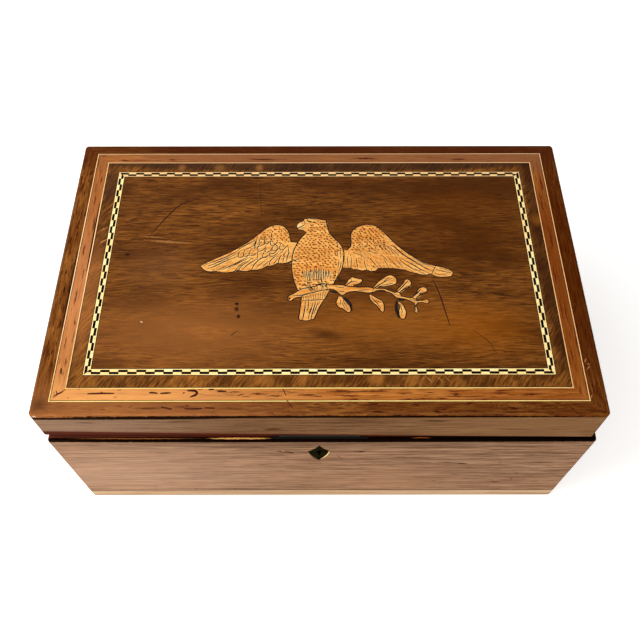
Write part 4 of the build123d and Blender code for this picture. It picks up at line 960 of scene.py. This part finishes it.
RIGHT_FEATHERS = [
    [(25.4, 5.8), (24.9, 1.4), (25, -2.9)], [(29.2, 5.8), (29.5, 1), (30.4, -3.6)],
    [(35.5, 4.3), (35.7, -0.1), (37.5, -5.4)], [(40, 5.8), (43, 2.1), (46.3, -3)],
    [(44.2, 4.3), (47.1, -0.1), (48.9, -3.2)], [(50.9, 5), (53.1, 0.6), (54.6, -3.1)],
    [(55.2, 6.5), (58, 2.1), (62.5, -3.2)], [(60.1, 5.8), (62.8, 1.3), (66.8, -4.2)],
    [(63.5, 4.3), (68.6, -0.9), (76.7, -6), (83, -9.6)],
    [(65.4, 5.7), (73.5, -0.2), (80.3, -5.3), (86.3, -8.9)],
    [(69.1, 6.5), (77.7, 0.6), (85.2, -4.6), (88.3, -6.8)],
    [(58.9, 19.3), (65.7, 10.2), (73.8, 3.9), (81.2, -0.9)],
    [(73.9, 6.5), (80.9, 2), (86.6, -1.5), (90.2, -3.1)], [(22.6, 8.8), (22, 2.9), (22.7, -2.3)],
    [(91.7, -4.6), (95.1, -6.8), (102.8, -7.6)], [(93.7, -3), (98.3, -4.4), (102.1, -6.2)],
    [(92, -9.1), (97.9, -9.7)]]
RIGHT_COVERTS = [
    [(30.1, 14.8), (34.8, 11.8), (39, 8.6)], [(36.1, 13.3), (40.9, 12.6), (46.4, 10.8)],
    [(38.2, 20), (42.3, 16.3), (46.4, 11.7)], [(44.4, 22.2), (49.1, 17.8), (53.6, 11.7)],
    [(49.2, 21.6), (52.6, 16.2), (56.6, 10.8)], [(51.6, 20.6), (56.3, 15.5), (60.8, 8.7)],
    [(55.2, 19.3), (58.6, 14), (63.2, 8.7)], [(57.7, 19.3), (62.3, 14), (66.8, 8.7)],
    [(32.9, 7.9), (35.9, 7.4), (39, 5.6)], [(27, 11.8), (30.5, 9.5), (34.7, 8.8)],
    [(48.7, 9.5), (52.2, 6.5), (54.4, 2.8)], [(30.2, 19.3), (33.2, 17), (36.2, 17)]]
print("wings:", len(LEFT_FEATHERS + LEFT_COVERTS + RIGHT_FEATHERS + RIGHT_COVERTS), "strokes")

# %% Cuts of the head, body, feet and tail
SEAMS = [
    [(-17.4, 20.3), (-19.8, 16.4), (-21.1, 10), (-21.4, 4.9)],
    [(-23.7, 1.9), (-21.1, 3.6), (-18.2, 4.8), (-16, 6.2)], [(91.8, -0.6), (89.9, -3.3), (87.5, -9.1)],
    [(-13.2, -33), (-6.5, -33), (-0.7, -32.6), (3.7, -32.2)]]
HEAD = [
    [(-17.9, 35.8), (-16, 36.7), (-14, 38.7), (-11.9, 39.8)], [(-14.8, 36.9), (-13.6, 35.8), (-11.5, 36.5)],
    [(-14.7, 41.6), (-13.8, 41.2)], [(-11.5, 39.2), (-10.4, 39.6)], [(1.9, 42.3), (4, 41.8), (6.5, 42.1)],
    [(3.6, 40.7), (4.7, 38), (6.1, 37.6)], [(-10.5, 45.4), (-7.3, 46), (-4.5, 45.4), (-1.6, 45)],
    [(-7.3, 40.3), (-5.9, 38.5), (-5.2, 37.2)], [(-11.9, 43.9), (-12, 41.6), (-10.8, 40.3)]]
FLANK = [
    [(14.6, 14.9), (14.9, 11.5), (14.1, 7.7)], [(16.6, 16.2), (17.4, 11.1), (16.8, 6.1)],
    [(18.6, 10.3), (19.4, 5.2), (18.1, -1)], [(15.3, 5.2), (15.7, 0.6), (14.3, -3.1)],
    [(17.1, 3.5), (17.2, -1), (15.3, -6.4)], [(12.9, -4.4), (13.2, -8.5), (11.8, -12.9)],
    [(15.3, -7.2), (14.2, -11.3), (11.8, -15.4)], [(13.8, 22.2), (15, 18.8), (14.6, 16.2)]]
TAIL = [
    [(-10.6, -29.8), (-10.2, -31.9)], [(-10.6, -34), (-10.9, -40.2), (-12.2, -48), (-12.4, -50)],
    [(-8, -29.8), (-8.1, -39.5), (-9.1, -41.9)], [(-6.5, -40.2), (-7.9, -45.3), (-8.2, -50)],
    [(-4.8, -35), (-5.9, -40.2), (-7.1, -44.9)], [(-2.8, -34.4), (-4.2, -40.2), (-5.8, -47), (-6.3, -49.7)],
    [(-1, -35), (-2.5, -39.5), (-4.3, -45.3)], [(0.2, -34), (-0.7, -36.8)], [(-6.6, -27.8), (-6, -31.2)],
    [(-4.8, -27.8), (-4.5, -31.9)], [(-2.8, -27.1), (-2.8, -31.9)], [(-0.7, -26.4), (-1, -31.9)],
    [(1.1, -26), (0.5, -31.6)], [(3.1, -25), (2.2, -31.2)], [(-12.1, -29.8), (-11.8, -32.3)],
    [(-9.5, -28.8), (-9.2, -32.3)], [(5.2, -25.3), (3.7, -29.9)]]
FEET = [
    [(-16.2, -23.7), (-13.4, -22.6), (-10.7, -21.8), (-8.4, -21.8), (-6.9, -23.6), (-5.3, -25.4)],
    [(-2.5, -20), (-1, -18.5), (1.1, -17.7), (3.4, -17.7), (5.2, -18.7), (6.3, -20.9)],
    [(-0.7, -19.4), (1.7, -19.2), (2.9, -20.5), (3.5, -22.6)],
    [(-6.6, -20.7), (-4.8, -22.8), (-3.6, -24.4)], [(6.3, -20.9), (6.9, -22.2)],
    [(-8.1, -18.6), (-7.8, -16.8), (-8.4, -14.3)], [(1.1, -12.2), (1.7, -14.7), (1.5, -16.8)],
    [(4.9, -15.8), (5.5, -17.6), (6.4, -19.3)]]
TOES = [
    [(-13.3, -18), (-11.2, -19.9), (-8.9, -19.9), (-6.6, -21.2), (-4.3, -25)],
    [(-4.5, -19.9), (-2.9, -21.6), (-3.3, -25)],
    [(-1.9, -19.9), (-0.8, -18.9), (2.4, -18.5), (5.4, -20.2), (6.3, -23.1)],
    [(-1.5, -19.9), (-2.1, -22.3), (-1.6, -24.3)], [(1.8, -18.8), (2.4, -21.5), (1.7, -23.7)],
    [(-9.6, -15.1), (-8.8, -19.3)], [(0, -15.9), (0.8, -18.6)], [(-7.7, -16.4), (-6.9, -20.5)]]
print("body:", len(SEAMS + HEAD + FLANK + TAIL + FEET + TOES), "strokes")

# %% Scales of the left wing: one scale, stood at twelve places and tipped
SCALE = [(-1.85, 2.08), (-1.56, -0.93), (0.1, -2.54), (1.61, -0.69), (1.7, 2.07)]
SCALE_PLACES = [
    (-61.7, 9.9), (-57.7, 10.8), (-53.1, 11.6), (-46.8, 16.0), (-40.8, 15.3), (-34.9, 16.6), (-29.2, 17.4),
    (-36.8, 11.0), (-42.5, 9.9), (-41.6, 23.7), (-45.7, 21.9), (-36.6, 21.8)]
rng = random.Random(3)
LEFT_SCALES = []
for middle_x, middle_y in SCALE_PLACES:
    tip = math.radians(-28 + rng.uniform(-10, 10))
    wide = 1.5 + rng.uniform(-0.1, 0.15)
    tall = 1.45 + rng.uniform(-0.1, 0.15)
    LEFT_SCALES.append([(middle_x + wide * x * math.cos(tip) - tall * y * math.sin(tip),
                         middle_y + wide * x * math.sin(tip) + tall * y * math.cos(tip)) for x, y in SCALE])
print(len(LEFT_SCALES), "scales")

# %% The shaggy rump: long wavy strokes with short ones between them
RUMP = []
for index in range(17):
    x = -13 + 1.35 * index + rng.uniform(-0.25, 0.25)
    top = -1.8 - rng.uniform(0, 3.2) - 0.02 * (x + 2) ** 2
    low = -12.5 - rng.uniform(0, 3.6) + 0.012 * (x + 2) ** 2
    bend = rng.uniform(-0.7, 0.7)
    RUMP.append([(x, top), (x + bend, (2 * top + low) / 3), (x - 0.6 * bend, (top + 2 * low) / 3),
                 (x + rng.uniform(-0.5, 0.5), low)])
for index in range(10):
    x = -12 + 2.2 * index + rng.uniform(-0.6, 0.6)
    top = -2.5 - rng.uniform(0, 5)
    RUMP.append([(x, top), (x + rng.uniform(-0.5, 0.5), top - 1.6), (x + rng.uniform(-0.6, 0.6), top - 3.4)])
print(len(RUMP), "strokes on the rump")

# %% Cuts of the branch and the leaves, and where mastic fills the ground beside them
BARK = [
    [(-20.3, -28.6), (-17.4, -28.4), (-14.2, -28.7), (-11.3, -27.7), (-8.3, -26.8), (-4.8, -26),
     (-2.1, -24.8)],
    [(-0.7, -24.4), (2.2, -24.1), (4.6, -23.4)], [(12.5, -20.5), (16.2, -21.9), (18.9, -21.1)],
    [(29.4, -24.3), (34.2, -23.4), (38.4, -23.7)], [(57.2, -27.2), (60.3, -28.9), (62.4, -29.9)],
    [(69, -32.5), (72.7, -33.2), (75.8, -34.1)], [(80, -33.8), (82, -34.1)],
    [(14.6, -24.3), (17.2, -25.5), (19.3, -24.9)], [(43.1, -24.3), (46.9, -23.4), (51.1, -24.3)]]
VEINS = [
    [(19.4, -20.8), (22.6, -17.9), (25.1, -15.5), (29.6, -15.3)], [(25.1, -15.5), (24.3, -12.9)],
    [(40.5, -24.3), (43.8, -20.2), (49.3, -17), (56.1, -12.8)], [(49.3, -17), (52.1, -13.5), (54.3, -11.9)],
    [(47.6, -19.4), (52.9, -18.8), (57, -17.2)], [(60, -25.1), (64, -20.6), (66.8, -17.4), (68, -16)],
    [(61.8, -25.7), (64.9, -22), (69.9, -19.6)], [(71, -30.7), (74.7, -26.9), (77, -24.4), (78.2, -22.8)],
    [(74.1, -30.8), (76.7, -28.3)], [(16, -32.3), (16.6, -35.6), (16.1, -36.9)],
    [(17.9, -32.4), (19.1, -36.2), (22.1, -41.2)], [(17.3, -35.1), (18.5, -38), (19.5, -40.6)],
    [(39.2, -29.4), (41.7, -33.1), (44.7, -36.2), (46.9, -40.7)],
    [(42.8, -32.5), (45.3, -34.2), (47.1, -35.7)], [(61.2, -36.2), (62.3, -40.6), (62.8, -44.4)],
    [(61.6, -43.1), (62.2, -46.2)], [(72.8, -38.7), (72.8, -42.4), (73, -43.8)],
    [(68, -14.8), (68.9, -17.4)]]
FILLER = [
    [(18.5, -30.1), (21.5, -33.1), (24, -37.7), (24.5, -42.3)],
    [(59.1, -33.1), (58, -37.5), (58.4, -44.2), (59.8, -49.1)],
    [(59.6, -32.5), (62.2, -32.6), (64.8, -33.1)], [(76.5, -26.6), (77.9, -27.2)],
    [(8.1, -25), (10.7, -25), (13.4, -26.4)]]
print("branch:", len(BARK + VEINS + FILLER), "strokes")

# %% Sweep the cuts
LONG_CUTS = LEFT_FEATHERS + RIGHT_FEATHERS + SEAMS + HEAD + FEET + TOES + BARK + VEINS + TAIL
FINE_CUTS = LEFT_COVERTS + LEFT_SCALES + RIGHT_COVERTS + RUMP + FLANK
HIGHLIGHT_BESIDE = 0.62
lines_on_lid("engraved_long_cuts", LONG_CUTS, 0.92, mastic, 0.08)
lines_on_lid("engraved_fine_cuts", FINE_CUTS, 0.78, mastic, 0.08)
# Painted highlights beside the cuts, where their edges catch the light.
cut_highlights = [[(x + HIGHLIGHT_BESIDE, y - HIGHLIGHT_BESIDE) for x, y in stroke] for stroke in LONG_CUTS + FINE_CUTS]
lines_on_lid("engraved_cut_highlights", cut_highlights, 0.45, edge_highlight)
lines_on_lid("mastic_filling", FILLER, 2.6, glue)

# %% [markdown]
# ## The escutcheon's recess
# The wall of the kite-shaped plate's recess faces the light at its lower right, and a sliver of painted
# highlight in a pale wood tone stands there. It is one more swept line, stood upright on the front board.

# %% The painted highlight on the recess wall
KEYHOLE = (-0.0022, -0.1282, 0.108)
ON_FRONT = Matrix.Translation(KEYHOLE) @ Matrix.Rotation(math.radians(90), 4, "X") @ Matrix.Scale(MM, 4)
LIT_WALL_SLIVER = [[(1.2, -15.6), (4.6, -11.0), (7.0, -4.6), (7.9, 1.6)]]
grow("recess_wall_highlight", drawn("recess wall highlight", LIT_WALL_SLIVER), line_tree, {"Width": 1.5, "Rise": 0.3, "Finish": edge_highlight},
     ON_FRONT, "carcase")

# %% [markdown]
# ## Short dashes
# The shortest cuts repeat by the hundred, so they are dashes stood on a grid of points: only the points
# inside a piece's outline are kept, and a dash near a long cut takes its direction from it. One dash is
# a four-sided grain of rice, and a tree stands a copy on each point, turned and stretched a little at
# random, from a fixed seed.

# %% A tree that stands dashes on points
def attribute(tree, name):
    return put(tree, "GeometryNodeInputNamedAttribute", {"Name": name}, data_type="FLOAT").outputs[0]


def random_between(tree, low, high, seed):
    return put(tree, "FunctionNodeRandomValue", {2: low, 3: high, "Seed": seed}, data_type="FLOAT").outputs[1]


def stood(tree, points, instance, heading, size=(1, 1, 1)):
    """Copies of a shape, one on each point, turned about the upright by its heading."""
    turned = put(tree, "FunctionNodeEulerToRotation", {"Euler": three(tree, z=heading)}).outputs[0]
    return put(tree, "GeometryNodeInstanceOnPoints", {"Points": points, "Instance": instance,
                                                      "Rotation": turned, "Scale": size}).outputs[0]


dash_tree, given = geometry_tree("graver dashes", [
    ("Length", NUMBER), ("Width", NUMBER), ("Rise", NUMBER), ("Wander", NUMBER), ("Seed", COUNT),
    ("Finish", FINISH)])
points = put(dash_tree, "GeometryNodeMeshToPoints", {"Mesh": given["Geometry"]}).outputs[0]
least = numbers(dash_tree, "MULTIPLY", given["Wander"], -1.0)
wander = random_between(dash_tree, least, given["Wander"], given["Seed"])
uneven = random_between(dash_tree, 0.75, 1.2, 7)
heading = numbers(dash_tree, "ADD", attribute(dash_tree, "turn"), wander)
length = numbers(dash_tree, "MULTIPLY", numbers(dash_tree, "MULTIPLY", given["Length"], uneven),
                 attribute(dash_tree, "longer"))
rice = put(dash_tree, "GeometryNodeMeshUVSphere", {"Segments": 4, "Rings": 2, "Radius": 0.5}).outputs[0]
dashes = stood(dash_tree, points, rice, heading, three(dash_tree, length, given["Width"], given["Rise"]))
finish_tree(dash_tree, dashes, given["Finish"])

# %% Points inside a piece's outline
def inside(loop, x, y):
    hits = False
    for (ax, ay), (bx, by) in zip(loop, loop[1:] + loop[:1]):
        if (ay > y) != (by > y) and x < ax + (y - ay) / (by - ay) * (bx - ax):
            hits = not hits
    return hits


def near(cuts, x, y):
    """How far the nearest long cut is, and its direction there."""
    best = (math.inf, 0.0)
    for cut in cuts:
        for (ax, ay), (bx, by) in zip(cut, cut[1:]):
            away = math.hypot((ax + bx) / 2 - x, (ay + by) / 2 - y)
            best = min(best, (away, math.atan2(by - ay, bx - ax)))
    return best


MARGIN = 0.9
SLOPE = 0.12
JITTER_X, JITTER_Y = 0.8, 0.45


def dash_points(node, step, turn_of, keep):
    """A staggered grid over the node, cut off at its outline; turn_of gives the heading and length."""
    loop = max(OUTLINE[node], key=len)
    left, low = min(x for x, _ in loop), min(y for _, y in loop)
    columns = int((max(x for x, _ in loop) - left) / step[0])
    rows = int((max(y for _, y in loop) - low) / step[1])
    rng = random.Random(5)
    found = []
    for row in range(rows + 1):
        y = low + (row + 0.5) * step[1]
        for column in range(columns + 1):
            x = left + (column + 0.5 * (row % 2)) * step[0]
            px = x + rng.uniform(-JITTER_X, JITTER_X)
            py = y + SLOPE * (x - left) % step[1] + rng.uniform(-JITTER_Y, JITTER_Y)
            around = ((px + MARGIN, py), (px - MARGIN, py), (px, py + MARGIN), (px, py - MARGIN))
            if all(inside(loop, *place) for place in around) and keep(px, py):
                found.append((px, py) + turn_of(px, py))
    print(node, "keeps", len(found), "points")
    return found


def point_mesh(name, found):
    mesh = bpy.data.meshes.new(name)
    mesh.from_pydata([(x, y, 0) for x, y, _, _ in found], [], [])
    for label, index in (("turn", 2), ("longer", 3)):
        values = [dash[index] for dash in found]
        mesh.attributes.new(label, "FLOAT", "POINT").data.foreach_set("value", values)
    return mesh


# %% Where each part of the bird has dashes, and which way they lie
def on_breast(x, y):
    over_rump = -13 < x < 10.5 and -13.5 < y < -3.0
    on_beak = y > 34.5 and x < -8
    on_flank = x > 13.5 and y < 12
    at_eye = math.hypot(x + 6.6, (y - 42.8) * 1.5) <= 3.2
    return not (over_rump or on_beak or on_flank or at_eye)


def barbs(node, step, cuts, longer, keep):
    """Fine dashes between the long cuts, which they follow without touching."""
    return dash_points(node, step, lambda x, y: (near(cuts, x, y)[1], longer),
                       lambda x, y: keep(x, y) and near(cuts, x, y)[0] > 1.8)


breast = dash_points("eagle_body", (3.2, 2.15), lambda x, y: (-0.45 - 0.012 * x, 1.0), on_breast)
left_shoulder = dash_points("eagle_left_wing", (3.1, 2.3), lambda x, y: (-0.9, 0.85),
                            lambda x, y: -47 < x < -23 and y > 21)
right_shoulder = dash_points("eagle_right_wing", (3.0, 2.2), lambda x, y: (-0.75, 1.0),
                             lambda x, y: x < 53 and y > 14)
left_barbs = barbs("eagle_left_wing", (5.2, 1.9), LEFT_FEATHERS, 2.2, lambda x, y: x < -45 or y < 12)
right_barbs = barbs("eagle_right_wing", (5.0, 1.8), RIGHT_FEATHERS, 2.4, lambda x, y: x > 50 or y < 12)

# %% Stand the dashes
def dashes_on_lid(name, found, length, width, rise, wander, seed, finish):
    return grow(name, point_mesh(name + " places", found), dash_tree,
                {"Length": length, "Width": width, "Rise": rise, "Wander": wander, "Seed": seed,
                 "Finish": finish}, ON_LID, "lid")


plumage = breast + left_shoulder + right_shoulder
dashes_on_lid("engraved_short_dashes", plumage, 2.6, 1.45, 0.08, 0.5, 3, brown_mastic)
dashes_on_lid("engraved_barbs", left_barbs + right_barbs, 1.4, 0.5, 0.06, 0.12, 4, brown_mastic)
EYE = [(-7.4, 42.9, -0.25, 1.5), (-4.4, 42.3, 0.1, 0.9), (-9.6, 44.0, -0.6, 0.6)]
SPOTS = [(40.9, 25.4, 0.4, 0.8), (37.6, 26.4, -0.5, 0.5), (43.4, 24.3, -0.4, 0.5), (42.4, -1.6, -0.5, 0.6),
         (-22.9, -31.4, 1.2, 0.9), (74.9, -26.9, -0.3, 0.7)]
dashes_on_lid("eye_and_knots", EYE + SPOTS, 3.2, 1.9, 0.09, 0.1, 1, glue)

# %% [markdown]
# ## Screws with slotted heads
# In the solids the screws are six-sided to save faces. Here each is a round countersunk head with a
# sawn slot. One screw is built from two cones and a box, and Geometry Nodes stand a copy at each place,
# which is read from the solids: the middle of each screw's face. No two slots point the same way.

# %% Where the screws are
def islands(node):
    """The separate solids of a node, each as its list of corners."""
    copy = merged(node)
    seen, found = set(), []
    for start in copy.verts:
        if start in seen:
            continue
        seen.add(start)
        group = [start]
        for here in group:
            for edge in here.link_edges:
                other = edge.other_vert(here)
                if other not in seen:
                    seen.add(other)
                    group.append(other)
        found.append([v.co.copy() for v in group])
    copy.free()
    return found


IN_THE_FACE = 2e-5


def heads(node, facing):
    """The middle of each screw's face, and the turn that takes straight up to where it faces."""
    turn = Vector((0, 0, 1)).rotation_difference(facing).to_matrix().to_4x4()
    middles = []
    for corners in islands(node):
        top = max(c.dot(facing) for c in corners)
        face = [c for c in corners if c.dot(facing) > top - IN_THE_FACE]
        middles.append(turn.inverted() @ (sum(face, Vector()) / len(face)))
    print(node, "has", len(middles), "screws")
    return middles, turn


# %% The screw's tree
NECK_SHARE, TIP_RADIUS, SLOT_REACH = 0.55, 0.4, 2.4


def cone(tree, sides, top, bottom, height, lowered):
    """A cone moved down from the face, by as much as lowered says."""
    made = put(tree, "GeometryNodeMeshCone", {"Vertices": sides, "Side Segments": 1, "Fill Segments": 1,
                                              "Radius Top": top, "Radius Bottom": bottom, "Depth": height})
    down = three(tree, z=numbers(tree, "MULTIPLY", lowered, -1.0))
    return put(tree, "GeometryNodeTransform", {"Geometry": made.outputs[0], "Translation": down}).outputs[0]


screw_tree, given = geometry_tree("slotted screws", [
    ("Head radius", NUMBER), ("Head height", NUMBER), ("Slot width", NUMBER), ("Slot depth", NUMBER),
    ("Length", NUMBER), ("Finish", FINISH)])
points = put(screw_tree, "GeometryNodeMeshToPoints", {"Mesh": given["Geometry"]}).outputs[0]
neck = numbers(screw_tree, "MULTIPLY", given["Head radius"], NECK_SHARE)
head = cone(screw_tree, 24, given["Head radius"], neck, given["Head height"], given["Head height"])
across = numbers(screw_tree, "MULTIPLY", given["Head radius"], SLOT_REACH)
deep = numbers(screw_tree, "MULTIPLY", given["Slot depth"], 2.0)
slot = put(screw_tree, "GeometryNodeMeshCube", {"Size": three(screw_tree, across, given["Slot width"], deep)})
sawn = put(screw_tree, "GeometryNodeMeshBoolean", {0: head, 1: slot.outputs[0]}, operation="DIFFERENCE")
shank_length = numbers(screw_tree, "SUBTRACT", given["Length"], given["Head height"])
shank = cone(screw_tree, 12, neck, TIP_RADIUS, shank_length, given["Length"])
whole = put(screw_tree, "GeometryNodeJoinGeometry")
for part in (sawn.outputs[0], shank):
    screw_tree.links.new(part, whole.inputs[0])
standing = stood(screw_tree, points, whole.outputs[0], attribute(screw_tree, "turn"))
finish_tree(screw_tree, standing, given["Finish"])

# %% Stand the screws
SCREW = {"Head radius": 2.2, "Head height": 1.2, "Slot width": 0.6, "Slot depth": 0.65}
FIRST_SLOT, NEXT_SLOT = 0.7, 1.9
PROUD = 0.00002
UP, DOWN, BACK = (Vector(v) for v in ((0, 0, 1), (0, 0, -1), (0, 1, 0)))
for node, facing, length, finish, body, slot_name in (
        ("hinge_body_screws", UP, 9.0, brass, "carcase", "brass"),
        ("hinge_lid_screws", DOWN, 9.0, brass, "lid", "brass"),
        ("lock_screws", BACK, 7.0, iron, "carcase", "iron"),
        ("link_plate_screws", -LID_UP, 9.0, iron, "lid", "iron")):
    middles, turn = heads(node, facing)
    spots = [(m.x / MM, m.y / MM, FIRST_SLOT + NEXT_SLOT * index, 1.0) for index, m in enumerate(middles)]
    level = Matrix.Translation((0, 0, middles[0].z + PROUD))
    piece = grow(node + "_slotted", point_mesh(node + " places", spots), screw_tree,
                 {**SCREW, "Length": length, "Finish": finish}, turn @ level @ Matrix.Scale(MM, 4), body)
    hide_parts(node)
